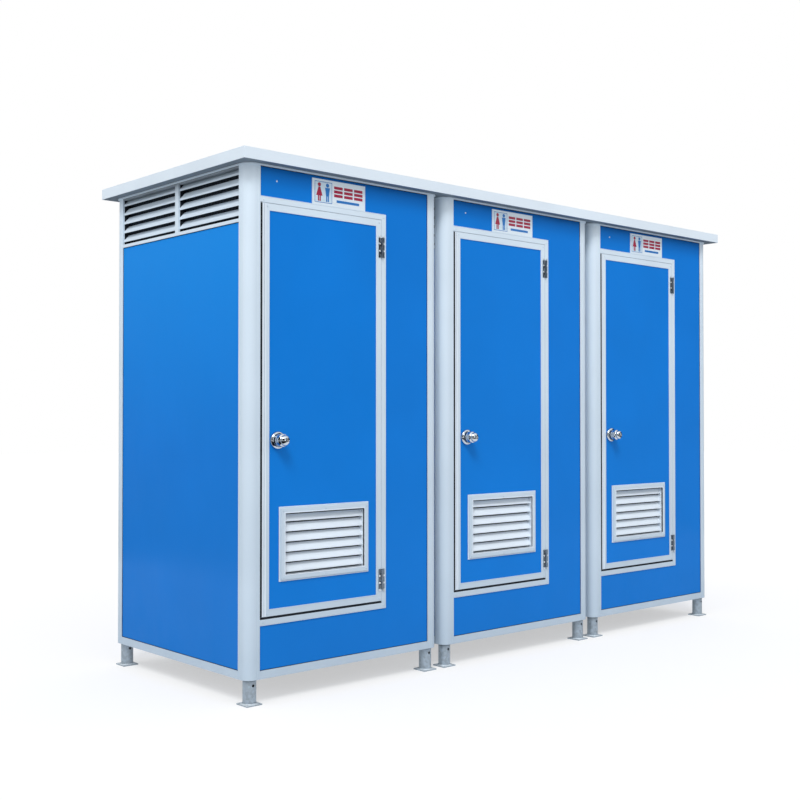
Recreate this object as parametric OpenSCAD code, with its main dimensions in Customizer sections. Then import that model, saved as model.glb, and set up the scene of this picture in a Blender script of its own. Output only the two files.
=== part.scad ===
// Row of three free-standing toilet cabins with rounded aluminium corner posts, blue sandwich
// walls, louvred doors, side ventilation and flat roofs, on low tubular feet.
// Millimetres. X runs along the row, Y from the door side to the rear, Z up.
// The origin is on the ground, under the middle of the whole row's box.

/* [Cabin] */
// Width of one cabin over its corner posts
cabin_w = 1060; // [960:10:1400]
// Depth of one cabin over its corner posts
cabin_d = 1100; // [1000:10:1600]
// Space between neighbouring cabins
cabin_gap = 40; // [20:5:90]
// Thickness of the sandwich wall panels
panel_t = 40; // [30:1:50]

/* [Feet] */
// Height of a foot from the ground to the base frame
foot_h = 105; // [60:5:200]
// Diameter of the foot tube
foot_d = 56; // [42:1:60]
// Wall of the foot tube
foot_wall = 3; // [2:0.5:5]
// Distance of a foot's centre from both cabin faces
foot_inset = 42; // [40:1:60]
// Side of the square base plate
plate_w = 75; // [75:1:110]
// Thickness of the base plate
plate_t = 6; // [4:1:12]
// Diameter of an anchor hole
anchor_d = 9; // [6:0.5:10]
// Distance between neighbouring anchor holes
anchor_pitch = 58; // [57:1:62]
// Diameter of the drain hole through the tube
drain_hole_d = 12; // [8:1:16]
// Distance of the drain hole below the base frame
drain_hole_drop = 24; // [18:1:40]

/* [Posts] */
// Radius of the rounded outer corner of a post
post_r = 40; // [15:1:44]
// Thickness of the flanges that hold the panels
flange_t = 4; // [3:0.5:6]
// Depth to which a panel enters the post
panel_grip = 14; // [10:1:24]
// Wall of the hollow post
post_wall = 3; // [2:0.5:5]
// Width of the decorative grooves in the posts
groove_w = 2; // [1:0.5:3]
// Depth of the decorative grooves in the posts
groove_d = 1; // [0.5:0.25:2]

/* [Base frame] */
// Height of the base rails
rail_h = 34; // [24:1:60]
// Width of the two floor bearers
bearer_w = 40; // [25:1:60]
// Clear distance between the two floor bearers
bearer_clear = 460; // [445:5:560]
// Width of the base rails beyond the foot tube
rail_margin = 10; // [4:1:30]
// Length of a spacer block between two base frames
spacer_l = 60; // [40:5:120]
// Distance of the spacer blocks from the front and rear faces
spacer_inset = 130; // [90:5:300]
// Height left free above and below a spacer block
spacer_margin = 3; // [1:1:6]

/* [Roof] */
// Overhang of the roof at the front, the rear and both ends
eave = 50; // [20:5:120]
// Thickness of the roof slab
roof_t = 45; // [30:1:80]
// Thickness of the fascia sheet
fascia_t = 3; // [2:0.5:5]
// Width of the fascia's lip on top of the roof
fascia_lip = 15; // [8:1:30]
// Width of the strip that covers a roof joint
joint_strip_w = 80; // [40:5:160]
// Height of the crown bead on the walls
crown_h = 7; // [4:1:12]
// Projection of the crown bead from the walls
crown_out = 6; // [2:1:9]
// Width of the top rails
top_rail_w = 30; // [20:1:50]
// Height of the top rails
top_rail_h = 40; // [25:1:60]

/* [Front wall] */
// Height of the front panel below the door frame
sill_h = 184; // [120:2:300]
// Height of the front panel above the door frame
header_h = 126; // [116:2:260]
// Width of the sign plate
sign_w = 292; // [200:2:400]
// Height of the sign plate
sign_h = 110; // [60:1:110]
// Thickness of the sign plate
sign_t = 3; // [1:0.5:4]
// Distance of the sign plate from the cabin's left face
sign_x = 328; // [200:2:400]
// Distance of the sign plate above the door frame
sign_lift = 3; // [1:1:6]

/* [Door] */
// Width of the door leaf
leaf_w = 645; // [600:5:720]
// Height of the door leaf
leaf_h = 1689; // [1500:1:1900]
// Thickness of the leaf over its edge trim
leaf_t = 36; // [30:1:38]
// Thickness of the leaf's sandwich panel
leaf_core = 30; // [22:1:32]
// Visible width of the edge trim at the hinge side, top and bottom
trim_w = 24; // [24:1:40]
// Visible width of the edge trim at the lock side
trim_lock_w = 36; // [26:1:44]
// Thickness of the edge trim outside the panel's edge
trim_web = 6; // [3:0.5:10]
// Gap between leaf and frame at the lock side
gap_lock = 4; // [3:0.5:6]
// Gap between leaf and frame at the hinge side
gap_hinge = 3; // [2:0.5:4]
// Gap between leaf and frame at the top
gap_top = 3; // [2:0.5:6]
// Gap between leaf and frame at the bottom
gap_sill = 10; // [3:0.5:12]
// Visible width of the door frame's face band
band_w = 22; // [22:1:36]
// Width by which the face band covers the wall panel
band_lap = 12; // [6:1:16]
// Width by which the stop covers the leaf
stop_lap = 10; // [6:1:16]
// Thickness of the stop behind the leaf
stop_t = 5; // [3:0.5:6]

/* [Hinges] */
// Height of a hinge
hinge_h = 88; // [60:1:120]
// Radius of the hinge pin
hinge_pin_r = 3; // [2:0.25:4]
// Radius of the hinge knuckles
knuckle_r = 5.5; // [4.5:0.25:6]
// Thickness of the hinge plates
hinge_t = 2; // [1.5:0.25:3]
// Width of a hinge plate from the pin's axis to its edge
hinge_w = 17; // [16:1:20]
// Distance of the upper hinge's centre below the top of the leaf
hinge_top_inset = 123; // [80:1:300]
// Distance of the lower hinge's centre above the bottom of the leaf
hinge_low_inset = 97; // [50:1:120]
// Gap between two knuckles
knuckle_gap = 0.3; // [0.1:0.1:1]

/* [Lock] */
// Distance of the knob's axis from the leaf's edge
knob_backset = 82; // [78:1:110]
// Height of the knob's axis above the bottom of the leaf
knob_up = 718; // [600:2:1000]
// Radius of the rose
rose_r = 37; // [30:1:40]
// Height of the rose
rose_h = 15; // [8:1:18]
// Radius of the knob's barrel
knob_r = 26; // [20:1:30]
// Radius of the knob's end cap
knob_cap_r = 22; // [16:1:26]
// Reach of the outer knob from the leaf's panel
knob_reach = 70; // [55:1:100]
// Reach of the inner knob from the leaf's panel
knob_in_reach = 60; // [55:1:80]
// Radius of the knob's stem in the rose
stem_r = 11; // [8:0.5:14]
// Radius of the spindle through the leaf
spindle_r = 6; // [4:0.5:7]
// Length of the spindle inside the inner knob
spindle_grip = 40; // [20:1:48]
// Thickness of the latch bolt
bolt_t = 12; // [8:1:14]
// Height of the latch bolt
bolt_h = 16; // [10:1:20]
// Travel of the latch bolt
bolt_throw = 12; // [8:1:12]
// Clearance round the latch bolt
bolt_clear = 0.3; // [0.2:0.1:0.6]

/* [Louvres] */
// Distance from one blade to the next
blade_pitch = 42; // [38:0.5:44]
// Height from a blade's lower edge to its upper edge
blade_rise = 35; // [25:0.5:37]
// Depth of a ventilation blade
blade_d = 28; // [16:1:29]
// Height of the vertical lip at a blade's lower edge
blade_lip = 8; // [3:0.5:12]
// Thickness of a blade
blade_t = 2.5; // [1:0.25:3]
// Number of blades in a side ventilation light
vent_blades = 5; // [2:1:8]
// Height of the ventilation's sill
vent_sill = 14; // [8:1:40]
// Height of the ventilation's top bar
vent_top = 6; // [3:1:10]
// Width of the mullion in the middle of the ventilation
mullion_w = 28; // [12:1:60]
// Distance of the ventilation blades behind the cabin's face
vent_recess = 6; // [3:0.5:8]
// Number of blades in the door louvre
louvre_blades = 6; // [2:1:10]
// Width of the door louvre over its flange
louvre_w = 480; // [300:2:500]
// Width of the door louvre's flange
louvre_flange = 28; // [20:1:40]
// Width by which the door louvre's flange covers the leaf
louvre_lap = 20; // [8:1:25]
// Depth of a blade of the door louvre
louvre_blade_d = 20; // [14:1:22]
// Height of the door louvre's flange on the leaf
louvre_out = 10; // [4:0.5:12]
// Width of the thin outer rim of the door louvre's flange
louvre_rim_w = 7; // [2:1:14]
// Thickness of the thin outer rim of the door louvre's flange
louvre_rim_t = 4; // [1:0.5:7]
// Distance of the door louvre's blades behind the face of the leaf's panel
louvre_recess = 6; // [0:0.5:7]
// Distance of the door louvre above the bottom of the leaf
louvre_up = 136; // [60:2:300]
// Distance of the door louvre's middle from the leaf's middle
louvre_shift = 8; // [-10:1:10]

/* [Floor and toilet] */
// Height of the floor deck above the door frame's sill
floor_rise = 5; // [0:1:20]
// Thickness of the floor deck
deck_t = 20; // [12:1:40]
// Width of the squat pan
pan_w = 430; // [380:5:500]
// Length of the squat pan
pan_l = 550; // [480:5:600]
// Radius of the squat pan's corners
pan_corner_r = 60; // [30:5:90]
// Height of the pan's rim on the floor
pan_rim = 22; // [12:1:40]
// Width of the bowl's mouth
bowl_w = 250; // [180:5:260]
// Length of the bowl's mouth
bowl_l = 400; // [330:5:410]
// Distance by which the bowl's floor is shorter than its mouth at each end
bowl_taper = 50; // [40:5:70]
// Depth of the bowl below the top of the rim
bowl_depth = 170; // [120:5:180]
// Wall of the bowl
bowl_wall = 10; // [6:1:14]
// Distance of the pan's middle from the rear face
pan_back = 400; // [380:5:440]
// Radius of the waste spigot
spigot_r = 55; // [45:1:56]
// Radius of the waste hole
waste_r = 48; // [30:1:49]
// Length of the spigot below the base frame
spigot_drop = 35; // [20:1:60]
// Height of a foot tread on the rim
tread_h = 4; // [2:1:8]
// Distance of the foot treads from the bowl and from the rim's edge
tread_margin = 10; // [6:1:20]
// Width of a foot tread rib
tread_rib_w = 12; // [6:1:20]
// Distance from one foot tread rib to the next
tread_pitch = 26; // [21:1:40]
// Number of ribs in one foot tread
tread_ribs = 8; // [3:1:10]
// Width of the cistern
cistern_w = 380; // [260:5:460]
// Depth of the cistern
cistern_d = 130; // [100:5:180]
// Height of the cistern
cistern_h = 320; // [240:5:400]
// Height of the cistern's underside above the floor
cistern_up = 530; // [400:10:900]
// Height of the cistern's lid
lid_h = 28; // [15:1:50]
// Overhang of the cistern's lid
lid_out = 5; // [2:1:12]
// Radius of the flush button
button_r = 19; // [12:1:26]
// Height of the flush button
button_h = 16; // [12:1:20]
// Height of the flush button above the lid
button_proud = 8; // [7:1:9]
// Travel of the flush button
button_travel = 6; // [3:1:6]
// Radius of the flush pipe
pipe_r = 16; // [12:1:18]
// Wall of the flush pipe
pipe_wall = 2; // [1:0.5:3]
// Height of the pan's socket for the flush pipe
socket_h = 30; // [20:1:50]
// Wall of the pan's socket
socket_wall = 6; // [4:1:10]

/* [Hidden] */
$fn = 64;
cabins = [1, 2, 3];
// radial play of each shaft, pin and button in its hole
run_clear = 0.05;
// space between a panel with its flanges and the far wall of the post
post_clear = 2;
// space between the hinge knuckles and the front face of the leaf
knuckle_clear = 0.5;
// space between the tail of the latch bolt and the spindle
bolt_tail_gap = 4;
// knob's shape: space in front of the rose, length of the end cap, edge and ring depth
knob_lift = 3;
knob_cap_l = 22;
knob_edge = 2;
knob_ring = 1.5;

// colours
wall_blue = "#1b76d6";
door_blue = "#1972d1";
trim_white = "#dde8f1";
zinc_grey = "#a3afb9";
floor_grey = "#8f979d";
ceramic_white = "#f1f2ee";
plastic_white = "#e9ecec";
steel_grey = "#8a9299";
chrome_grey = "#c9ced2";

// heights, from the ground up
wall_z0 = foot_h + rail_h;
frame_z0 = wall_z0 + sill_h;
opening_z0 = frame_z0 + band_w;
leaf_z0 = opening_z0 + gap_sill;
leaf_z1 = leaf_z0 + leaf_h;
opening_z1 = leaf_z1 + gap_top;
frame_z1 = opening_z1 + band_w;
wall_z1 = frame_z1 + header_h;
roof_z0 = wall_z1 + crown_h;
roof_z1 = roof_z0 + roof_t;
floor_z = opening_z0 + floor_rise;

// plan of a cabin, from its left front corner
post_core = panel_t + 2 * flange_t + post_clear;
post_face = post_core + panel_grip;
wall_in = flange_t + panel_t;
base_rail_w = foot_inset + foot_d / 2 + rail_margin;
bearer_x = (cabin_w - bearer_clear) / 2 - bearer_w;

// door, seen from the front
opening_x0 = post_face;
leaf_x0 = opening_x0 + gap_lock;
leaf_x1 = leaf_x0 + leaf_w;
opening_x1 = leaf_x1 + gap_hinge;
frame_x1 = opening_x1 + band_w;
leaf_skin = (leaf_t - leaf_core) / 2;
leaf_mid_x = (leaf_x0 + leaf_x1) / 2;
hinge_x = leaf_x1 + gap_hinge / 2;
hinge_y = -knuckle_r - knuckle_clear;
knuckle_l = hinge_h / 5;
knob_x = leaf_x0 + knob_backset;
knob_z = leaf_z0 + knob_up;
bolt_y = leaf_t / 2;
bolt_tail_x = knob_x - spindle_r - bolt_tail_gap;
louvre_h = 2 * louvre_flange + louvre_blades * blade_pitch;
louvre_x0 = leaf_mid_x + louvre_shift - louvre_w / 2;
louvre_z0 = leaf_z0 + louvre_up;

// side ventilation
vent_h = vent_sill + vent_blades * blade_pitch + vent_top;
vent_z0 = wall_z1 - vent_h;
light_y0 = post_face;
light_y1 = (cabin_d - mullion_w) / 2;

// toilet
pan_y = cabin_d - pan_back;
rim_z = floor_z + pan_rim;
bowl_z = rim_z - bowl_depth;
waste_y = pan_y + bowl_l / 2 - bowl_taper - spigot_r;
cistern_z = floor_z + cistern_up;
cistern_y = cabin_d - wall_in - cistern_d;
socket_y = pan_y + pan_l / 2 - 2 * pipe_r;
button_y = cistern_y + cistern_d / 2;

// the whole row
cabin_pitch = cabin_w + cabin_gap;
row_w = 3 * cabin_w + 2 * cabin_gap;
front_reach = max(eave, knob_reach - leaf_skin);
row_x0 = -row_w / 2;
row_y0 = -(cabin_d + eave - front_reach) / 2;

// moves a cabin's part from the cabin's left front corner to its place in the row
module at_cabin(c) {
    translate([row_x0 + (c - 1) * cabin_pitch, row_y0, 0]) children();
}

// repeats a part of the left front corner at all four corners of a cabin
module at_corners() {
    for (right = [0, 1], rear = [0, 1])
        translate([right * cabin_w, rear * cabin_d, 0])
            mirror([right, 0, 0]) mirror([0, rear, 0]) children();
}

// repeats a part of the left side wall at the right side wall too
module at_sides() {
    for (right = [0, 1])
        translate([right * cabin_w, 0, 0]) mirror([right, 0, 0]) children();
}

// stands a drawing of the front view up, so that it fills the depth from y0 to y1
module upright(y0, y1) {
    translate([0, y1, 0]) rotate([90, 0, 0]) linear_extrude(y1 - y0) children();
}

// rectangle between two corners
module rect(x0, y0, x1, y1) {
    translate([x0, y0]) square([x1 - x0, y1 - y0]);
}

// square from the corner, with that corner rounded to radius r, drawn smaller by inset all round
module rounded_corner(side, r, inset) {
    difference() {
        translate([inset, inset]) square(side - 2 * inset);
        difference() {
            square(r);
            translate([r, r]) circle(r = r - inset);
        }
    }
}

// rectangle with four round corners, centred
module rounded_rect(w, l, r) {
    square([w - 2 * r, l], center = true);
    square([w, l - 2 * r], center = true);
    for (sx = [-1, 1], sy = [-1, 1])
        translate([sx * (w / 2 - r), sy * (l / 2 - r)]) circle(r = r);
}

// turned part with its axis along -Y, from points of radius and height
module turned(points) {
    rotate([90, 0, 0]) rotate_extrude() polygon(points);
}

// Feet

module foot() {
    difference() {
        union() {
            translate([-plate_w / 2, -plate_w / 2, 0]) cube([plate_w, plate_w, plate_t]);
            cylinder(d = foot_d, h = foot_h);
        }
        translate([0, 0, plate_t]) cylinder(d = foot_d - 2 * foot_wall, h = foot_h);
        translate([0, 0, foot_h - drain_hole_drop]) rotate([90, 0, 0])
            cylinder(d = drain_hole_d, h = plate_w, center = true);
        for (sx = [-1, 1], sy = [-1, 1])
            translate([sx * anchor_pitch / 2, sy * anchor_pitch / 2, -1])
                cylinder(d = anchor_d, h = plate_t + 2);
    }
}

module feet() {
    color(zinc_grey)
        for (c = cabins) at_cabin(c) at_corners() translate([foot_inset, foot_inset, 0]) foot();
}

// Base frame and posts

// outline of a corner post with its hollow filled
module post_outline() {
    rounded_corner(post_core, post_r, 0);
    for (near = [0, wall_in]) {
        translate([post_core, near]) square([panel_grip, flange_t]);
        translate([near, post_core]) square([flange_t, panel_grip]);
    }
}

// the three openings between the base rails and the floor bearers
module base_windows() {
    y0 = base_rail_w;
    y1 = cabin_d - base_rail_w;
    rect(base_rail_w, y0, bearer_x, y1);
    rect(bearer_x + bearer_w, y0, cabin_w - bearer_x - bearer_w, y1);
    rect(cabin_w - bearer_x, y0, cabin_w - base_rail_w, y1);
}

module base_frame(c) {
    color(trim_white) at_cabin(c) translate([0, 0, foot_h]) linear_extrude(rail_h)
        difference() {
            square([cabin_w, cabin_d]);
            at_corners() post_outline();
            // rounded corners stay clear of the posts' outer faces
            at_corners() square(post_core);
            base_windows();
        }
}

module base_spacers() {
    color(zinc_grey)
        for (c = [1, 2], y = [spacer_inset, cabin_d - spacer_inset - spacer_l])
            at_cabin(c) translate([cabin_w, y, foot_h + spacer_margin])
                cube([cabin_gap, spacer_l, rail_h - 2 * spacer_margin]);
}

module corner_post() {
    groove_at = [post_core - 2 * groove_w, post_face - 3 * groove_w];
    difference() {
        post_outline();
        rounded_corner(post_core, post_r, post_wall);
        for (s = groove_at) {
            translate([s, 0]) square([groove_w, groove_d]);
            translate([0, s]) square([groove_d, groove_w]);
        }
    }
}

module corner_posts(c) {
    color(trim_white) at_cabin(c) at_corners() translate([0, 0, foot_h])
        linear_extrude(wall_z1 - foot_h) corner_post();
}

// Walls

module side_walls(c) {
    color(wall_blue) at_cabin(c) at_sides()
        translate([flange_t, post_core, wall_z0])
            cube([panel_t, cabin_d - 2 * post_core, vent_z0 - wall_z0]);
}

module rear_wall(c) {
    color(wall_blue) at_cabin(c)
        translate([post_core, cabin_d - wall_in, wall_z0])
            cube([cabin_w - 2 * post_core, panel_t, wall_z1 - wall_z0]);
}

// one panel with the doorway cut out, open towards the lock side
module front_wall(c) {
    color(wall_blue) at_cabin(c) upright(flange_t, wall_in)
        difference() {
            rect(post_core, wall_z0, cabin_w - post_core, wall_z1);
            rect(post_core, frame_z0 + band_lap, frame_x1 - band_lap, frame_z1 - band_lap);
        }
}

module sign_plates() {
    color(plastic_white)
        for (c = cabins) at_cabin(c) upright(flange_t - sign_t, flange_t)
            rect(sign_x, frame_z1 + sign_lift, sign_x + sign_w, frame_z1 + sign_lift + sign_h);
}

// Louvres

// one blade, from its lower outer edge, with depth along X and length along Y
module blade(depth, length) {
    translate([0, length, 0]) rotate([90, 0, 0]) linear_extrude(length)
        polygon([
            [0, 0], [0, blade_lip],
            [depth - blade_t, blade_rise], [depth, blade_rise],
            [depth, blade_rise - blade_t], [blade_t, blade_lip - blade_t], [blade_t, 0]
        ]);
}

module blade_stack(count, depth, length) {
    for (k = [0 : count - 1])
        translate([0, 0, k * blade_pitch + blade_pitch - blade_rise]) blade(depth, length);
}

// left side ventilation: a frame with two lights of blades
module side_louvre() {
    difference() {
        union() {
            translate([flange_t, post_core, vent_z0])
                cube([panel_t, cabin_d - 2 * post_core, vent_h]);
            translate([0, post_face, vent_z0])
                cube([flange_t, cabin_d - 2 * post_face, vent_h]);
        }
        for (y = [light_y0, cabin_d - light_y1])
            translate([-1, y, vent_z0 + vent_sill])
                cube([wall_in + 2, light_y1 - light_y0, vent_blades * blade_pitch]);
    }
    // the upper edge of the top blade lies in the top bar
    for (y = [light_y0, cabin_d - light_y1])
        translate([vent_recess, y, vent_z0 + vent_sill + vent_top])
            blade_stack(vent_blades, blade_d, light_y1 - light_y0);
}

module side_louvres() {
    color(trim_white) for (c = cabins) at_cabin(c) at_sides() side_louvre();
}

// Top frame and roof

module top_frame() {
    translate([0, 0, wall_z1]) linear_extrude(crown_h)
        difference() {
            translate([-crown_out, -crown_out])
                square([cabin_w + 2 * crown_out, cabin_d + 2 * crown_out]);
            at_corners() translate([-crown_out, -crown_out])
                difference() {
                    square(post_r + crown_out);
                    translate([post_r + crown_out, post_r + crown_out])
                        circle(r = post_r + crown_out);
                }
            translate([post_core + top_rail_w, post_core + top_rail_w])
                square([cabin_w - 2 * (post_core + top_rail_w),
                        cabin_d - 2 * (post_core + top_rail_w)]);
        }
    translate([0, 0, wall_z1 - top_rail_h]) linear_extrude(top_rail_h)
        difference() {
            rect(post_core, post_core, cabin_w - post_core, cabin_d - post_core);
            rect(post_core + top_rail_w, post_core + top_rail_w,
                 cabin_w - post_core - top_rail_w, cabin_d - post_core - top_rail_w);
        }
}

module top_frames() {
    color(trim_white) for (c = cabins) at_cabin(c) top_frame();
}

// ends of a cabin's roof inside the fascia, and of the fascia itself, along X
function roof_left(c, sheet) = c == 1 ? -eave + sheet : -cabin_gap / 2;
function roof_right(c, sheet) = cabin_w + (c == 3 ? eave - sheet : cabin_gap / 2);

module roof_panel(c) {
    x0 = roof_left(c, fascia_t);
    color(trim_white) at_cabin(c) translate([x0, -eave + fascia_t, roof_z0])
        cube([roof_right(c, fascia_t) - x0, cabin_d + 2 * (eave - fascia_t), roof_t]);
}

// fascia along the front, with its lip on the roof
module fascia_strip(length) {
    cube([length, fascia_t, roof_t + fascia_t]);
    translate([0, 0, roof_t]) cube([length, fascia_lip, fascia_t]);
}

module roof_fascia() {
    color(trim_white) {
        for (c = cabins) at_cabin(c) {
            length = roof_right(c, 0) - roof_left(c, 0);
            translate([roof_left(c, 0), -eave, roof_z0]) fascia_strip(length);
            translate([roof_right(c, 0), cabin_d + eave, roof_z0]) rotate([0, 0, 180])
                fascia_strip(length);
        }
        end_length = cabin_d + 2 * (eave - fascia_t);
        end_lip_length = cabin_d + 2 * (eave - fascia_lip);
        for (right = [0, 1])
            translate([(2 * right - 1) * (row_w / 2 + eave), row_y0 + cabin_d / 2, roof_z0])
                mirror([right, 0, 0]) {
                    translate([0, -end_length / 2, 0])
                        cube([fascia_t, end_length, roof_t + fascia_t]);
                    translate([0, -end_lip_length / 2, roof_t])
                        cube([fascia_lip, end_lip_length, fascia_t]);
                }
    }
}

module roof_joint_strips() {
    color(trim_white)
        for (c = [1, 2]) at_cabin(c)
            translate([cabin_w + (cabin_gap - joint_strip_w) / 2, fascia_lip - eave, roof_z1])
                cube([joint_strip_w, cabin_d + 2 * (eave - fascia_lip), fascia_t]);
}

// Door frame

module opening_outline() {
    rect(opening_x0, opening_z0, opening_x1, opening_z1);
}

module door_frame(c) {
    color(trim_white) at_cabin(c) difference() {
        union() {
            // face band, flush with the posts
            upright(0, flange_t) difference() {
                rect(post_face, frame_z0, frame_x1, frame_z1);
                opening_outline();
            }
            // body in the thickness of the wall
            upright(flange_t, wall_in) difference() {
                rect(post_core, frame_z0 + band_lap, frame_x1 - band_lap, frame_z1 - band_lap);
                opening_outline();
            }
            // stop behind the leaf
            upright(wall_in - stop_t, wall_in) difference() {
                opening_outline();
                rect(leaf_x0 + stop_lap, leaf_z0 + stop_lap, leaf_x1 - stop_lap, leaf_z1 - stop_lap);
            }
        }
        // pocket for the latch bolt
        translate([opening_x0 - bolt_throw, bolt_y, knob_z])
            bolt_block(bolt_throw + 1, 2 * bolt_clear);
    }
}

// block along X of the latch bolt's size plus a play all round
module bolt_block(length, play) {
    translate([0, -bolt_t / 2 - play, -bolt_h / 2 - play])
        cube([length, bolt_t + 2 * play, bolt_h + 2 * play]);
}

// Hinges

// plate and knuckles of one hinge half, from the pin's axis towards -X; first is 0 or 1
module hinge_half(first) {
    plate_edge = knuckle_r + 1;
    translate([-hinge_w, -hinge_y - hinge_t, -hinge_h / 2])
        cube([hinge_w - plate_edge, hinge_t, hinge_h]);
    for (k = [first : 2 : 4])
        translate([0, 0, -hinge_h / 2 + k * knuckle_l + knuckle_gap / 2]) {
            cylinder(r = knuckle_r, h = knuckle_l - knuckle_gap);
            translate([-plate_edge - 1, -hinge_y - hinge_t, 0])
                cube([plate_edge + 1, hinge_t, knuckle_l - knuckle_gap]);
        }
}

module at_hinges() {
    for (z = [leaf_z1 - hinge_top_inset, leaf_z0 + hinge_low_inset])
        translate([hinge_x, hinge_y, z]) children();
}

// plates on the door frame, with the pins
module jamb_hinge_leaves() {
    color(steel_grey)
        for (c = cabins) at_cabin(c) at_hinges() {
            mirror([1, 0, 0]) hinge_half(0);
            cylinder(r = hinge_pin_r, h = hinge_h, center = true);
        }
}

// plates on the leaf, with bores that turn on the pins
module door_hinge_leaves(c) {
    color(steel_grey) at_cabin(c) at_hinges()
        difference() {
            hinge_half(1);
            cylinder(r = hinge_pin_r + run_clear, h = hinge_h, center = true);
        }
}

// Door leaf

module leaf_panel_outline() {
    rect(leaf_x0 + trim_web, leaf_z0 + trim_web, leaf_x1 - trim_web, leaf_z1 - trim_web);
}

module door_trim(c) {
    color(trim_white) at_cabin(c) difference() {
        upright(0, leaf_t) difference() {
            rect(leaf_x0, leaf_z0, leaf_x1, leaf_z1);
            rect(leaf_x0 + trim_lock_w, leaf_z0 + trim_w, leaf_x1 - trim_w, leaf_z1 - trim_w);
        }
        upright(leaf_skin, leaf_skin + leaf_core) leaf_panel_outline();
        translate([leaf_x0 - 1, bolt_y, knob_z]) bolt_block(trim_web + 2, bolt_clear);
    }
}

module door_panel(c) {
    color(door_blue) at_cabin(c) difference() {
        upright(leaf_skin, leaf_skin + leaf_core) difference() {
            leaf_panel_outline();
            rect(louvre_x0 + louvre_lap, louvre_z0 + louvre_lap,
                 louvre_x0 + louvre_w - louvre_lap, louvre_z0 + louvre_h - louvre_lap);
        }
        translate([leaf_x0, bolt_y, knob_z])
            bolt_block(bolt_tail_x - leaf_x0 + bolt_clear, bolt_clear);
        translate([knob_x, 0, knob_z]) rotate([-90, 0, 0])
            cylinder(r = spindle_r + run_clear, h = leaf_t);
    }
}

module louvre_outline(inset) {
    rect(louvre_x0 + inset, louvre_z0 + inset,
         louvre_x0 + louvre_w - inset, louvre_z0 + louvre_h - inset);
}

module door_louvre(c) {
    color(trim_white) at_cabin(c) {
        difference() {
            union() {
                upright(leaf_skin - louvre_rim_t, leaf_skin) louvre_outline(0);
                upright(leaf_skin - louvre_out, leaf_skin) louvre_outline(louvre_rim_w);
                upright(leaf_skin, leaf_skin + leaf_core) louvre_outline(louvre_lap);
            }
            upright(-leaf_t, 2 * leaf_t) louvre_outline(louvre_flange);
        }
        translate([louvre_x0 + louvre_w - louvre_flange, leaf_skin + louvre_recess,
                   louvre_z0 + louvre_flange])
            rotate([0, 0, 90])
                blade_stack(louvre_blades, louvre_blade_d, louvre_w - 2 * louvre_flange);
    }
}

// Knobs and latch

// quarter of an ellipse from [r0, h0] to [r1, h1], as points of radius and height
function dome(r0, h0, r1, h1) =
    [for (a = [0 : 15 : 90]) [r1 + (r0 - r1) * cos(a), h0 + (h1 - h0) * sin(a)]];

// rose on a face, from the face outwards
module rose() {
    edge_h = rose_h / 3;
    turned(concat(
        [[stem_r + run_clear, 0], [rose_r, 0]],
        dome(rose_r, edge_h, knob_r, rose_h),
        [[stem_r + run_clear, rose_h]]
    ));
}

module knob_roses(c) {
    color(chrome_grey) at_cabin(c) {
        translate([knob_x, leaf_skin, knob_z]) rose();
        translate([knob_x, leaf_skin + leaf_core, knob_z]) mirror([0, 1, 0]) rose();
    }
}

// knob's outer outline from the stem to the end cap, for a knob of the given reach
function knob_outline(reach) =
    let (base = rose_h + knob_lift, neck = reach - knob_cap_l)
    concat(
        [[stem_r, 1], [stem_r, base], [knob_r - knob_edge, base], [knob_r, base + knob_edge]],
        [[knob_r, base + 8], [knob_r - knob_ring, base + 9], [knob_r - knob_ring, base + 11]],
        [[knob_r, base + 12], [knob_r, neck - 2 * knob_edge], [knob_cap_r - 3, neck]],
        [[knob_cap_r - 3, neck + 3], [knob_cap_r, neck + 5]],
        dome(knob_cap_r, neck + 8, 0, reach)
    );

module outer_knob(c) {
    tail = -(leaf_core + spindle_grip);
    color(chrome_grey) at_cabin(c) translate([knob_x, leaf_skin, knob_z])
        turned(concat([[0, tail], [spindle_r, tail], [spindle_r, 1]], knob_outline(knob_reach)));
}

module inner_knob(c) {
    bore_r = spindle_r + run_clear;
    bore_end = spindle_grip + 1;
    color(chrome_grey) at_cabin(c) translate([knob_x, leaf_skin + leaf_core, knob_z])
        mirror([0, 1, 0])
            turned(concat([[0, bore_end], [bore_r, bore_end], [bore_r, 1]],
                          knob_outline(knob_in_reach)));
}

// bolt drawn back into the leaf, its nose bevelled on the side that meets the frame
module latch_bolt(c) {
    nose_x = leaf_x0 + bolt_clear;
    bevel = bolt_t * 0.7;
    color(steel_grey) at_cabin(c) translate([0, bolt_y, knob_z - bolt_h / 2])
        linear_extrude(bolt_h) polygon([
            [nose_x, -bolt_t / 2], [bolt_tail_x, -bolt_t / 2], [bolt_tail_x, bolt_t / 2],
            [nose_x + bevel, bolt_t / 2], [nose_x, bolt_t / 2 - bevel]
        ]);
}

// Floor and toilet

// raised deck on joists that stand on the base frame
module floor_deck() {
    inside = [cabin_w - 2 * post_core, cabin_d - 2 * post_core];
    translate([0, 0, wall_z0]) linear_extrude(floor_z - deck_t - wall_z0)
        difference() {
            translate([post_core, post_core]) square(inside);
            base_windows();
        }
    translate([0, 0, floor_z - deck_t]) linear_extrude(deck_t)
        difference() {
            translate([post_core, post_core]) square(inside);
            translate([cabin_w / 2, pan_y])
                rounded_rect(bowl_w + 4 * bowl_wall, bowl_l + 4 * bowl_wall, bowl_w / 4);
        }
}

module floor_decks() {
    color(floor_grey) for (c = cabins) at_cabin(c) floor_deck();
}

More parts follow.
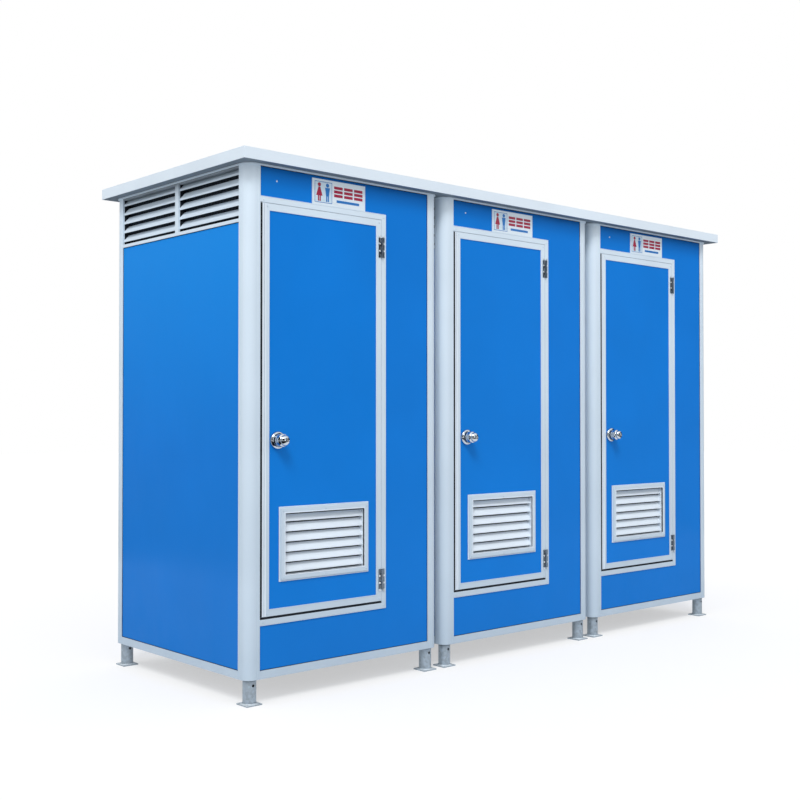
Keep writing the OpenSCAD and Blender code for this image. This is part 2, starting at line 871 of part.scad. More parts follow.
// bowl of oval plan, narrower at the bottom, drawn larger by grow all round
module bowl_shape(grow, z0, z1) {
    hull() {
        translate([0, 0, z1 - 1]) linear_extrude(1)
            rounded_rect(bowl_w + 2 * grow, bowl_l + 2 * grow, bowl_w / 2.5, $fn = 32);
        translate([0, 0, z0]) linear_extrude(1)
            rounded_rect(2 * spigot_r + 2 * grow, bowl_l - 2 * bowl_taper + 2 * grow, spigot_r, $fn = 32);
    }
}

module squat_pan() {
    difference() {
        union() {
            translate([0, 0, floor_z]) linear_extrude(pan_rim)
                rounded_rect(pan_w, pan_l, pan_corner_r);
            bowl_shape(bowl_wall, bowl_z - bowl_wall, rim_z);
            translate([0, waste_y - pan_y, foot_h - spigot_drop])
                cylinder(r = spigot_r, h = bowl_z - foot_h + spigot_drop);
            translate([0, socket_y - pan_y, floor_z])
                cylinder(r = pipe_r + socket_wall, h = pan_rim + socket_h);
            // ribbed treads on both sides of the bowl
            for (side = [-1, 1], k = [0 : tread_ribs - 1])
                translate([side * (pan_w + bowl_w) / 4,
                           (k - (tread_ribs - 1) / 2) * tread_pitch, rim_z + tread_h / 2])
                    cube([(pan_w - bowl_w) / 2 - 2 * tread_margin, tread_rib_w, tread_h], center = true);
        }
        bowl_shape(0, bowl_z, rim_z + 1);
        translate([0, waste_y - pan_y, 0]) cylinder(r = waste_r, h = rim_z);
        translate([0, socket_y - pan_y, rim_z])
            cylinder(r = pipe_r + run_clear, h = pan_rim + socket_h);
    }
}

module squat_pans() {
    color(ceramic_white)
        for (c = cabins) at_cabin(c) translate([cabin_w / 2, pan_y, 0]) squat_pan();
}

module flush_pipes() {
    color(plastic_white)
        for (c = cabins) at_cabin(c) translate([cabin_w / 2, socket_y, rim_z])
            difference() {
                cylinder(r = pipe_r, h = cistern_z - rim_z);
                translate([0, 0, -1]) cylinder(r = pipe_r - pipe_wall, h = cistern_z - rim_z + 2);
            }
}

module cistern() {
    difference() {
        union() {
            translate([-cistern_w / 2, 0, 0]) cube([cistern_w, cistern_d, cistern_h - lid_h]);
            translate([-cistern_w / 2 - lid_out, -lid_out, cistern_h - lid_h])
                cube([cistern_w + 2 * lid_out, cistern_d + lid_out, lid_h]);
        }
        translate([0, cistern_d / 2, cistern_h - button_h])
            cylinder(r = button_r + run_clear, h = button_h + 1);
    }
}

module cisterns() {
    color(plastic_white)
        for (c = cabins) at_cabin(c) translate([cabin_w / 2, cistern_y, cistern_z]) cistern();
}

module flush_button(c) {
    color(chrome_grey) at_cabin(c)
        translate([cabin_w / 2, button_y, cistern_z + cistern_h + button_proud - button_h])
            cylinder(r = button_r, h = button_h);
}

feet();
base_spacers();
side_louvres();
top_frames();
roof_fascia();
roof_joint_strips();
sign_plates();
jamb_hinge_leaves();
floor_decks();
squat_pans();
flush_pipes();
cisterns();
for (c = cabins) {
    base_frame(c);
    corner_posts(c);
    side_walls(c);
    rear_wall(c);
    front_wall(c);
    roof_panel(c);
    door_frame(c);
    door_hinge_leaves(c);
    door_trim(c);
    door_panel(c);
    door_louvre(c);
    knob_roses(c);
    outer_knob(c);
    inner_knob(c);
    latch_bolt(c);
    flush_button(c);
}
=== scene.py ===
"""Finish of a row of toilet cabins: rounded profiles, seals, screws, signs and materials.

Everything is in metres, in the row's own frame: X along the row, Y from the doors to the rear
and Z up.
"""

import math

import bmesh
import bpy
from bpy.props import FloatProperty, FloatVectorProperty, IntProperty, PointerProperty
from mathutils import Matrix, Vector


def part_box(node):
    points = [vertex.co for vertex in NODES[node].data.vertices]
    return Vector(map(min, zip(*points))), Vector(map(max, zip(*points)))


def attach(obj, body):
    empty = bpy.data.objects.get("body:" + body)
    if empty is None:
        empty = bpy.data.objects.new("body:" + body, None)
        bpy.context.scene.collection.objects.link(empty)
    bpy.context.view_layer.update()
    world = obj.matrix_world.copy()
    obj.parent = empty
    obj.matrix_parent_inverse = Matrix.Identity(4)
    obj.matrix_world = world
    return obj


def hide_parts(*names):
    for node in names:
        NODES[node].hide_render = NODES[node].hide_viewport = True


bl_info = {
    "name": "Toilet cabin row finish",
    "version": (1, 0, 0),
    "blender": (4, 5, 0),
    "location": "View3D > Sidebar > Toilet row",
    "description": "Finishes a row of toilet cabins: rounded profiles, seals, screws and signs",
    "category": "Object",
}

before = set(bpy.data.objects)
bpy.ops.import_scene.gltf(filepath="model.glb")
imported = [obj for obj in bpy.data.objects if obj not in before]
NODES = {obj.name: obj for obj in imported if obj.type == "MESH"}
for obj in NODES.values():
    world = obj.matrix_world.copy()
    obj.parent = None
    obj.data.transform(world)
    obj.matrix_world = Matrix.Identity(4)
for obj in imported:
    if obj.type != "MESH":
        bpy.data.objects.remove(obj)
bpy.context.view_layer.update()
CABINS = (1, 2, 3)
ROOT = "cabins"
MM = 0.001
SIDEWAYS = (math.radians(90), 0, 0)

# Sizes that no box of a CAD node gives
POST_FLANGE = 64 * MM  # reach of a corner post's flange along a wall
HALF_MULLION = 14 * MM
VENT_DEPTH = 38 * MM  # from a post's outer face to the screen behind the ventilation's blades
VENT_SILL = 14 * MM  # the ventilation's frame under its lights
VENT_HEAD = 6 * MM  # and over them
TRIM_LOCK_W = 36 * MM  # the leaf's edge trim at its lock side
TRIM_W = 24 * MM  # and at its other sides
LOUVRE_BORDER = 28 * MM
HINGE_H = 88 * MM
FILM_T = 0.4 * MM  # the signs' cut film
PLATE_T = 6 * MM  # a foot's plate
TUBE_IN = 42 * MM  # from a post's outer faces to the middle of its foot

# Heights that dust and the painted shades follow
TUBE_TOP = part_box("feet")[1].z
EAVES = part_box("corner_posts_1")[1].z
SPLASH_TOP = 0.45  # rain throws dust up to here
# The film below is the painted shade low on the coats.
DUST_LOW = 0.1  # below this the film and the dust are at their thickest

# The photograph's camera, fitted to the edges in the picture
CAMERA_PLACE = (-4.241, -4.388, 1.168)
CAMERA_TILT = 90.858  # degrees from straight down
CAMERA_TURN = -41.776  # degrees about Z
FOCAL_PX = 1144.5
PHOTO_PX = 800
SENSOR_W = 36.0  # millimetres


# Colours and shader nodes

def linear(hex_colour, alpha=None):
    """Turns an sRGB hex colour into linear numbers, with alpha where it is given."""
    parts = [int(hex_colour[i:i + 2], 16) / 255 for i in (0, 2, 4)]
    made = [p / 12.92 if p <= 0.04045 else ((p + 0.055) / 1.055) ** 2.4 for p in parts]
    return (*made, alpha) if alpha is not None else tuple(made)


def opaque(colour, share=1.0):
    """A linear colour for a shader's socket, darkened or lightened by share."""
    return (*[min(1.0, c * share) for c in colour], 1.0)


def add(tree, kind, values=(), **settings):
    """Adds a shader node with its settings, and with a value or link for its sockets.

    values names the sockets, or follows the order in which the node shows them. A node among
    the values stands for its first shown output.
    """
    made = tree.nodes.new("ShaderNode" + kind)
    for name, value in settings.items():
        setattr(made, name, value)
    if isinstance(values, dict):
        pairs = [(made.inputs[name], value) for name, value in values.items()]
    else:
        pairs = zip([socket for socket in made.inputs if socket.enabled], values)
    for socket, value in pairs:
        if isinstance(value, bpy.types.Node):
            value = next(output for output in value.outputs if output.enabled)
        if isinstance(value, bpy.types.NodeSocket):
            tree.links.new(value, socket)
        else:
            socket.default_value = value
    return made


def start_material(name):
    """Makes an empty material and gives it, its node tree and its object coordinates."""
    made = bpy.data.materials.new(name)
    made.use_nodes = True
    made.node_tree.nodes.clear()
    return made, made.node_tree, add(made.node_tree, "TexCoord").outputs["Object"]


def shaded(made, values, *reliefs):
    """Adds the shader of a material, with a value or link for each socket that is named.

    Each relief is a height with its strength and its depth in metres, the widest first.
    """
    tree, under = made.node_tree, {}
    for height, strength, depth in reliefs:
        under = {"Normal": add(tree, "Bump", {"Height": height, "Strength": strength,
                                              "Distance": depth, **under})}
    shader = add(tree, "BsdfPrincipled", {**values, **under})
    add(tree, "OutputMaterial", {"Surface": shader})
    return made


def ground_dust(tree, place, height, top, most):
    """Dust that is thickest at the ground and fades out at the height top."""
    low = add(tree, "MapRange", (height, DUST_LOW, top, 1.0, 0.0))
    patches = add(tree, "TexNoise", (place, 7.0, 6.0, 0.7))
    patches = add(tree, "MapRange", (patches, 0.3, 0.75, 0.25, 1.0))
    share = add(tree, "Math", (low, patches), operation="MULTIPLY")
    return add(tree, "Math", (share, most), operation="MULTIPLY")


def band(tree, height, rise, fall, most=1.0):
    """A share that rises to most between two heights and falls to 0 between two higher ones."""
    up = add(tree, "MapRange", (height, *rise, 0.0, most))
    down = add(tree, "MapRange", (height, *fall, 1.0, 0.0))
    return add(tree, "Math", (up, down), operation="MULTIPLY")


# Materials

def coated(name, colour, dirt_and_shade_colour, rough, film=0.1, dust_most=0.1, shine=0.3, eave_shade=0.0,
           top_light_colour=None):
    """Paint or powder on metal: cloudy colour, run-off streaks, dust, orange peel and soft waves.

    film is the share at the ground of a painted shade in the dirt-and-shade colour, which darkens
    the paint towards the bottom and fades out towards the roof; eave_shade is the share of the
    painted shadow of the eaves just below the crown bead, and top_light_colour the colour of a
    painted light that makes the paint lighter near the top.
    """
    made, tree, place = start_material(name)
    height = add(tree, "SeparateXYZ", (place,)).outputs["Z"]
    # Clouds some 400 mm wide, as panels of one batch show them.
    clouds = add(tree, "TexNoise", (place, 2.4, 2.0, 0.55))
    clouds = add(tree, "MapRange", (clouds, 0.3, 0.7, 0.0, 1.0))
    base = add(tree, "Mix", (clouds, opaque(colour, 0.96), opaque(colour, 1.03)),
               data_type="RGBA")
    # Rain leaves faint streaks about 40 mm wide and a metre long.
    streaks = add(tree, "Mapping", {"Vector": place, "Scale": (24.0, 24.0, 0.9)})
    streaks = add(tree, "TexNoise", (streaks, 1.0, 4.0, 0.6))
    streaks = add(tree, "MapRange", (streaks, 0.55, 0.85, 0.0, 0.05))
    # Painted shade: the paint turns towards the dirt-and-shade colour down to the ground, by the
    # share film there; streaks and dust take the same colour.
    painted_low_shade = add(tree, "MapRange", (height, DUST_LOW, 2.1, film, 0.0))
    dust = ground_dust(tree, place, height, SPLASH_TOP, dust_most)
    for share in (streaks, painted_low_shade, dust):
        base = add(tree, "Mix", (share, base, opaque(dirt_and_shade_colour)), data_type="RGBA")
    if top_light_colour:
        # Painted light: the paint turns lighter towards the top.
        painted_top_light = add(tree, "MapRange", (height, 1.0, 1.9, 0.0, 1.0))
        base = add(tree, "Mix", (painted_top_light, base, opaque(top_light_colour)), data_type="RGBA")
    if eave_shade:
        # Painted shadow of the eaves: the paint turns dark navy, in patches, just below the crown
        # bead.
        painted_eave_shadow = add(tree, "MapRange", (height, EAVES - 55 * MM, EAVES + 3 * MM, 0.0, eave_shade))
        patches = add(tree, "TexNoise", (place, 5.0, 4.0, 0.55))
        patches = add(tree, "MapRange", (patches, 0.2, 0.8, 0.8, 1.0))
        painted_eave_shadow = add(tree, "Math", (painted_eave_shadow, patches), operation="MULTIPLY")
        painted_eave_shadow = add(tree, "Math", (painted_eave_shadow, painted_eave_shadow), operation="MULTIPLY")
        base = add(tree, "Mix", (painted_eave_shadow, base, linear("04101f", 1.0)), data_type="RGBA")
    smears = add(tree, "Mapping", {"Vector": place, "Scale": (9.0, 9.0, 3.0)})
    smears = add(tree, "TexNoise", (smears, 1.0, 5.0, 0.65))
    gloss = add(tree, "MapRange", (smears, 0.3, 0.7, rough - 0.05, rough + 0.07))
    gloss = add(tree, "Math", (gloss, dust), operation="ADD")
    waves = add(tree, "TexNoise", (place, 3.2, 1.0, 0.55))
    # Orange peel is 1 to 2 mm wide and is drawn at 3 mm so that it shows.
    peel = add(tree, "TexNoise", (place, 330.0, 2.0, 0.55))
    return shaded(made, {"Base Color": base, "Roughness": gloss, "Specular IOR Level": shine},
                  (waves, 0.08, 0.004), (peel, 0.05, 0.0004))


def galvanised(colours):
    # Hot-dip zinc on steel: matt, with spangles that turn light and dark.
    made, tree, place = start_material("hot_dip_galvanised_steel")
    height = add(tree, "SeparateXYZ", (place,)).outputs["Z"]
    # Spangles are 8 to 15 mm across.
    spangle = add(tree, "TexVoronoi", (place, 85.0)).outputs["Color"]
    grey = add(tree, "RGBToBW", (spangle,))
    share = add(tree, "MapRange", (grey, 0.2, 0.8, 0.0, 1.0))
    base = add(tree, "Mix", (share, opaque(colours.zinc, 0.72), opaque(colours.zinc)),
               data_type="RGBA")
    dust = ground_dust(tree, place, height, 0.12, 0.25)
    base = add(tree, "Mix", (dust, base, opaque(colours.dust)), data_type="RGBA")
    # Painted light: the tops of the foot plates are painted paler and less metallic, a highlight
    # on the faces that look up.
    plate_top_light = band(tree, height, (PLATE_T - 1.2 * MM, PLATE_T - 0.4 * MM),
                 (PLATE_T + 1 * MM, PLATE_T + 5 * MM))
    share = add(tree, "Math", (plate_top_light, 0.8), operation="MULTIPLY")
    base = add(tree, "Mix", (share, base, opaque(colours.plate_top_light)), data_type="RGBA")
    # Painted shade: a dark band at the tops of the tubes, where they meet the rails.
    painted_contact_shade = band(tree, height, (TUBE_TOP - 11 * MM, TUBE_TOP - 1 * MM),
                (TUBE_TOP + 1 * MM, TUBE_TOP + 3 * MM), 0.75)
    base = add(tree, "Mix", (painted_contact_shade, base, opaque(colours.rubber)), data_type="RGBA")
    grain = add(tree, "TexNoise", (place, 240.0, 3.0, 0.55))
    return shaded(made, {
        "Base Color": base, "Metallic": add(tree, "MapRange", (plate_top_light, 0.0, 1.0, 0.75, 0.15)),
        "Roughness": add(tree, "MapRange", (grey, 0.2, 0.8, 0.42, 0.6))},
        (grain, 0.2, 0.0006))


def brushed(name, colour, metallic):
    # Steel ground along its length.
    made, tree, place = start_material(name)
    # Grinding lines of 0.1 mm are drawn about 0.7 mm apart.
    lines = add(tree, "Mapping", {"Vector": place, "Scale": (1400.0, 1400.0, 30.0)})
    lines = add(tree, "TexNoise", (lines, 1.0, 2.0, 0.55))
    share = add(tree, "MapRange", (lines, 0.3, 0.7, 0.0, 1.0))
    return shaded(made, {
        "Base Color": add(tree, "Mix", (share, opaque(colour, 0.8), opaque(colour)),
                          data_type="RGBA"),
        "Metallic": metallic, "Roughness": add(tree, "MapRange", (lines, 0.3, 0.7, 0.26, 0.42))},
        (lines, 0.15, 0.0003))


def chrome(colours):
    # Bright chrome plate: mirror-like, with finger smudges and fine hairlines.
    made, tree, place = start_material("chrome_plated_brass")
    smudge = add(tree, "TexNoise", (place, 60.0, 5.0, 0.6))
    share = add(tree, "MapRange", (smudge, 0.35, 0.75, 0.0, 1.0))
    hairs = add(tree, "Mapping", {"Vector": place, "Scale": (300.0, 40.0, 900.0)})
    hairs = add(tree, "TexNoise", (hairs, 1.0, 2.0, 0.55))
    return shaded(made, {
        "Base Color": add(tree, "Mix", (share, opaque(colours.chrome),
                                        opaque(colours.chrome, 0.9)), data_type="RGBA"),
        "Metallic": 1.0, "Roughness": add(tree, "MapRange", (smudge, 0.35, 0.75, 0.06, 0.17))},
        (hairs, 0.03, 0.0002))


def rubber(colours):
    # Extruded EPDM seal: near black, matt, dusty on its outer face.
    made, tree, place = start_material("extruded_epdm_rubber")
    bloom = add(tree, "TexNoise", (place, 45.0, 4.0, 0.55))
    bloom = add(tree, "MapRange", (bloom, 0.4, 0.8, 0.0, 0.08))
    grain = add(tree, "TexNoise", (place, 600.0, 2.0, 0.55))
    return shaded(made, {
        "Base Color": add(tree, "Mix", (bloom, opaque(colours.rubber), opaque(colours.dust)),
                          data_type="RGBA"),
        "Roughness": add(tree, "MapRange", (bloom, 0.0, 0.08, 0.6, 0.8)),
        "Specular IOR Level": 0.2},
        (grain, 0.2, 0.0003))


def pale_gasket(colours):
    # Grey thermoplastic seal: matt, with a chalky bloom.
    made, tree, place = start_material("grey_thermoplastic_seal")
    bloom = add(tree, "TexNoise", (place, 45.0, 4.0, 0.55))
    bloom = add(tree, "MapRange", (bloom, 0.3, 0.8, 0.0, 0.4))
    grain = add(tree, "TexNoise", (place, 500.0, 2.0, 0.55))
    return shaded(made, {
        "Base Color": add(tree, "Mix", (bloom, opaque(colours.gasket),
                                        opaque(colours.trim_white)), data_type="RGBA"),
        "Roughness": add(tree, "MapRange", (bloom, 0.0, 0.4, 0.5, 0.7))},
        (grain, 0.15, 0.0003))


def insect_mesh(colours):
    # Coated glass-fibre netting. Its 1.5 mm mesh is drawn at 4 mm so that it shows.
    made, tree, place = start_material("coated_glass_fibre_netting")
    across = add(tree, "TexWave", (place, 40.0), bands_direction="Z")
    flat = add(tree, "Mapping", {"Vector": place, "Scale": (1.0, 1.0, 0.0)})
    down = add(tree, "TexWave", (flat, 28.0), bands_direction="DIAGONAL")
    net = add(tree, "Math", (across.outputs["Fac"], down.outputs["Fac"]), operation="MAXIMUM")
    share = add(tree, "MapRange", (net, 0.6, 1.0, 0.0, 1.0))
    return shaded(made, {
        "Base Color": add(tree, "Mix", (share, opaque(colours.netting, 0.35),
                                        opaque(colours.netting)), data_type="RGBA"),
        "Roughness": add(tree, "MapRange", (net, 0.0, 1.0, 0.9, 0.6))},
        (net, 0.4, 0.0006))


def sheet_plastic(name, colour, rough=0.24):
    # Cast acrylic or vinyl: smooth and glossy with wiping marks.
    made, tree, place = start_material(name)
    wipes = add(tree, "Mapping", {"Vector": place, "Scale": (12.0, 12.0, 60.0)})
    wipes = add(tree, "TexNoise", (wipes, 1.0, 4.0, 0.55))
    share = add(tree, "MapRange", (wipes, 0.3, 0.7, 0.0, 1.0))
    waves = add(tree, "TexNoise", (place, 90.0, 2.0, 0.55))
    return shaded(made, {
        "Base Color": add(tree, "Mix", (share, opaque(colour, 0.95), opaque(colour)),
                          data_type="RGBA"),
        "Roughness": add(tree, "MapRange", (wipes, 0.3, 0.7, rough, rough + 0.12))},
        (waves, 0.03, 0.0006))


def glazed_ceramic(colours):
    # Vitreous china: white glaze with depth, tiny pinholes and a grey film low in the bowl.
    made, tree, place = start_material("glazed_vitreous_china")
    pits = add(tree, "TexVoronoi", (place, 260.0)).outputs["Distance"]
    pits = add(tree, "MapRange", (pits, 0.0, 0.12, 0.0, 1.0))
    film = add(tree, "TexNoise", (place, 14.0, 5.0, 0.55))
    film = add(tree, "MapRange", (film, 0.45, 0.8, 0.0, 0.18))
    return shaded(made, {
        "Base Color": add(tree, "Mix", (film, opaque(colours.china), opaque(colours.dust)),
                          data_type="RGBA"),
        "Roughness": add(tree, "MapRange", (film, 0.0, 0.18, 0.10, 0.24)),
        "Coat Weight": 0.6, "Coat Roughness": 0.05},
        (pits, 0.05, 0.0002))


def sanitary_plastic(colours):
    # Injection-moulded ABS: slightly warm white with a fine sparkle grain.
    made, tree, place = start_material("moulded_abs_plastic")
    cloud = add(tree, "TexNoise", (place, 6.0, 3.0, 0.55))
    cloud = add(tree, "MapRange", (cloud, 0.3, 0.7, 0.0, 1.0))
    grain = add(tree, "TexNoise", (place, 900.0, 2.0, 0.55))
    return shaded(made, {
        "Base Color": add(tree, "Mix", (cloud, opaque(colours.china, 0.94),
                                        opaque(colours.china)), data_type="RGBA"),
        "Roughness": add(tree, "MapRange", (cloud, 0.0, 1.0, 0.3, 0.4))},
        (grain, 0.08, 0.0002))


def vinyl_floor(colours):
    # Homogeneous vinyl sheet with raised studs 25 mm apart, speckled and worn.
    made, tree, place = start_material("studded_vinyl_flooring")
    flat = add(tree, "Mapping", {"Vector": place, "Scale": (40.0, 40.0, 0.0)})
    cell = add(tree, "VectorMath", (flat,), operation="FRACTION")
    centred = add(tree, "VectorMath", (cell, (0.5, 0.5, 0.0)), operation="SUBTRACT")
    reach = add(tree, "VectorMath", (centred,), operation="LENGTH")
    stud = add(tree, "MapRange", (reach, 0.28, 0.36, 1.0, 0.0))
    speck = add(tree, "TexNoise", (place, 420.0, 1.0, 0.55))
    speck = add(tree, "MapRange", (speck, 0.55, 0.65, 0.0, 0.35))
    base = add(tree, "Mix", (speck, opaque(colours.floor), opaque(colours.floor, 0.5)),
               data_type="RGBA")
    scuffs = add(tree, "TexNoise", (place, 9.0, 6.0, 0.7))
    scuffs = add(tree, "MapRange", (scuffs, 0.5, 0.8, 0.0, 0.3))
    return shaded(made, {
        "Base Color": add(tree, "Mix", (scuffs, base, opaque(colours.dust)), data_type="RGBA"),
        "Roughness": add(tree, "MapRange", (stud, 0.0, 1.0, 0.62, 0.42))},
        (stud, 0.5, 0.0012))


def seen_directly(tree):
    """Is 1 for rays from the camera, in mirrors and through glass, and 0 for lighting."""
    rays = add(tree, "LightPath").outputs
    seen = add(tree, "Math", (rays["Is Camera Ray"], rays["Is Glossy Ray"]),
               operation="MAXIMUM")
    return add(tree, "Math", (seen, rays["Is Transmission Ray"]), operation="MAXIMUM")


def studio_floor():
    # Seamless white paper. To the camera and in mirrors it glows up to white, so that only the
    # row's soft shadow shows on it; the light that it throws on the row is that of plain paper.
    made, tree, place = start_material("seamless_studio_paper")
    seen = seen_directly(tree)
    grain = add(tree, "TexNoise", (place, 120.0, 2.0, 0.55))
    return shaded(made, {
        "Base Color": add(tree, "Mix", (seen, linear("c8cacc", 1.0), (0.485, 0.485, 0.485, 1.0)),
                          data_type="RGBA"),
        "Roughness": 0.95, "Specular IOR Level": 0.0, "Emission Color": (0.985, 0.99, 1.0, 1.0),
        "Emission Strength": add(tree, "Math", (seen, 0.527), operation="MULTIPLY")},
        (grain, 0.02, 0.0005))


def black_cloth():
    # Black molton on the studio's cards.
    made, tree, place = start_material("black_molton_cloth")
    nap = add(tree, "TexNoise", (place, 300.0, 2.0, 0.55))
    return shaded(made, {
        "Base Color": linear("1a1c1f", 1.0), "Roughness": 1.0, "Specular IOR Level": 0.0},
        (nap, 0.1, 0.001))


MAKERS = {
    # Polyester coil coating on steel skins: satin, even, with slow waves in the sheet, and with
    # the eaves' shadow painted below the crown bead.
    "wall": lambda row: coated("polyester_coated_steel_wall", row.wall_blue, row.blue_dirt_and_shade, 0.40,
                               film=0.3, dust_most=0.2, shine=0.1, eave_shade=0.85),
    # The same coating on the side walls, which no eaves shade, with a painted light that makes
    # them lighter towards the top.
    "side": lambda row: coated("polyester_coated_steel_side", row.wall_blue, row.blue_dirt_and_shade, 0.40,
                               film=0.4, dust_most=0.2, shine=0.1,
                               top_light_colour=row.blue_top_light),
    # The same coating on the leaf, a little deeper where hands polish it.
    "door": lambda row: coated("polyester_coated_steel_door", row.door_blue, row.blue_dirt_and_shade, 0.36,
                               film=0.2, dust_most=0.2, shine=0.1),
    # Powder coat on aluminium extrusions: bluish white, slight orange peel, with painted shade
    # towards the ground.
    "white": lambda row: coated("powder_coated_aluminium", row.trim_white, row.white_dirt_and_shade, 0.34,
                                film=0.55, dust_most=0.3),
    # A whiter copy of the profiles' powder coat, a painted light on the louvre blades, their beads
    # and the trim's ribs, with little painted shade towards the ground.
    "louvre": lambda row: coated("lit_powder_coated_louvre_blades", row.louvre_lit_white, row.white_dirt_and_shade,
                                 0.34, film=0.1, dust_most=0.2),
    # The roof edge's powder coat, washed by every rain.
    "fascia": lambda row: coated("powder_coated_fascia", row.fascia_white, row.white_dirt_and_shade, 0.34,
                                 film=0.1, dust_most=0.2),
    # The profiles' powder coat on the side ventilation, with the eaves' shadow painted dark over
    # its top.
    "vent": lambda row: coated("powder_coated_ventilation", row.trim_white, row.white_dirt_and_shade, 0.34,
                               film=0.3, dust_most=0.2, eave_shade=1.0),
    # Coil coating on the roof sheet, painted dark grey as the shade on its underside under the
    # eaves, with settled dust.
    "roof": lambda row: coated("roof_sheet_with_painted_soffit_shade", row.roof_soffit_shade_grey, row.dust, 0.46),
    # White coil coating on the inner skins of the sandwich panels, cleaner than outside.
    "inside": lambda row: coated("polyester_coated_steel_inside", row.inside, row.dust, 0.32,
                                 film=0.06, dust_most=0.25),
    "gasket": pale_gasket, "zinc": galvanised, "chrome": chrome, "rubber": rubber,
    "netting": insect_mesh, "china": glazed_ceramic, "abs": sanitary_plastic,
    "vinyl": vinyl_floor,
    "steel": lambda row: brushed("brushed_stainless_steel", row.steel, 1.0),
    "screw": lambda row: brushed("zinc_plated_steel_screws", row.screw, 0.4),
    "sign": lambda row: sheet_plastic("cast_acrylic_sign", row.sign),
    "sign_red": lambda row: sheet_plastic("red_cut_vinyl", row.sign_red),
    "sign_blue": lambda row: sheet_plastic("blue_cut_vinyl", row.sign_blue),
    "sign_pale": lambda row: sheet_plastic("pale_blue_cut_vinyl", row.sign_pale),
}
_made = {}


def material(key):
    """Gives the finish with this short name, made once."""
    if key not in _made:
        _made[key] = MAKERS[key](bpy.context.scene.row_colours)
    return _made[key]


# Modelling steps

def ready():
    """Leaves edit mode and clears the selection, so that an operator meets only its own piece."""
    if bpy.context.object and bpy.context.mode != "OBJECT":
        bpy.ops.object.mode_set(mode="OBJECT")
    bpy.ops.object.select_all(action="DESELECT")


def only(piece):
    ready()
    piece.select_set(True)
    bpy.context.view_layer.objects.active = piece


def edit(piece):
    only(piece)
    bpy.ops.object.mode_set(mode="EDIT")
    bpy.ops.mesh.select_mode(type="FACE")
    bpy.ops.mesh.select_all(action="DESELECT")


def facing(axis, side=0):
    """A test for faces that look along an axis: towards side, +1 or -1, or both ways for 0."""
    return lambda normal, centre: (normal[axis] * side if side else abs(normal[axis])) > 0.9


FRONT = facing(1, -1)


def pick(piece, test):
    """In edit mode, selects the faces whose normal and centre pass the test."""
    mesh = bmesh.from_edit_mesh(piece.data)
    for face in mesh.faces:
        face.select_set(bool(test(face.normal, face.calc_center_median())))
    bmesh.update_edit_mesh(piece.data)


def outward(piece):
    """Turns all faces outwards and leaves edit mode."""
    bpy.ops.mesh.select_all(action="SELECT")
    bpy.ops.mesh.normals_make_consistent(inside=False)
    bpy.ops.object.mode_set(mode="OBJECT")
    return piece


def inset_faces(piece, test, *steps, individual=False):
    """Insets the faces that pass the test, by one thickness and depth after another."""
    edit(piece)
    pick(piece, test)
    for thickness, depth in steps:
        bpy.ops.mesh.inset(thickness=thickness, depth=depth, use_individual=individual)
    return outward(piece)


def hollowed(piece, border, axis=1):
    """Opens a piece along an axis: both end faces are inset, and the insets bridged."""
    edit(piece)
    pick(piece, facing(axis))
    bpy.ops.mesh.inset(thickness=border, depth=0)
    bpy.ops.mesh.bridge_edge_loops()
    return outward(piece)


def settle(name):
    """Gives the new primitive its name and puts its place into its mesh."""
    piece = bpy.context.object
    piece.name = name
    piece.data.name = name
    only(piece)
    bpy.ops.object.transform_apply(location=True, rotation=True, scale=True)
    return piece


def block(name, low, high):
    ready()
    low, high = Vector(low), Vector(high)
    bpy.ops.mesh.primitive_cube_add(size=1, location=(low + high) / 2, scale=high - low)
    return settle(name)


def disc(name, centre, radius, depth, vertices, rotation=SIDEWAYS):
    """A cylinder along Y, unless it is given another rotation."""
    ready()
    bpy.ops.mesh.primitive_cylinder_add(vertices=vertices, radius=radius, depth=depth,
                                        location=centre, rotation=rotation)
    return settle(name)


def bearing(place, x=0.0, y=0.0):
    """The direction of a place from x and y, in degrees."""
    return math.degrees(math.atan2(place.y - y, place.x - x))


def mm(x, y, z):
    return Vector((x, y, z)) * MM


def modifier(piece, kind, **settings):
    """Adds a modifier and applies it."""
    only(piece)
    made = piece.modifiers.new(kind.lower(), kind)
    for name, value in settings.items():
        setattr(made, name, value)
    bpy.ops.object.modifier_apply(modifier=made.name)


def rounded(piece, radius, segments=2, angle=35.0):
    """Rounds the sharp edges and shades the piece so that its flat faces stay flat."""
    if radius > 0:
        modifier(piece, "BEVEL", width=radius, segments=segments, limit_method="ANGLE",
                 angle_limit=math.radians(angle), use_clamp_overlap=True)
    only(piece)
    bpy.ops.object.shade_smooth_by_angle(angle=math.radians(angle))
    modifier(piece, "WEIGHTED_NORMAL", weight=80, keep_sharp=True)
    return piece


def joined(name, parts):
    """Joins pieces into one mesh."""
    ready()
    for part in parts:
        part.select_set(True)
    made = bpy.context.view_layer.objects.active = parts[0]
    if len(parts) > 1:
        bpy.ops.object.join()
    made.name = name
    made.data.name = name
    return made


def copy_at(pattern, places, name):
    """Copies a finished pattern piece to each place and joins the copies; the pattern goes."""
    parts = []
    for place in places:
        part = bpy.data.objects.new(name, pattern.data.copy())
        bpy.context.scene.collection.objects.link(part)
        part.location = place
        only(part)
        bpy.ops.object.transform_apply(location=True, rotation=False, scale=False)
        parts.append(part)
    bpy.data.objects.remove(pattern)
    return joined(name, parts)


def dress(piece, key, body, replaced=()):
    """Gives a finished piece its material and body, and hides the CAD nodes that it stands for."""
    piece.data.materials.clear()
    piece.data.materials.append(material(key))
    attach(piece, body)
    if replaced:
        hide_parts(*replaced)
    return piece


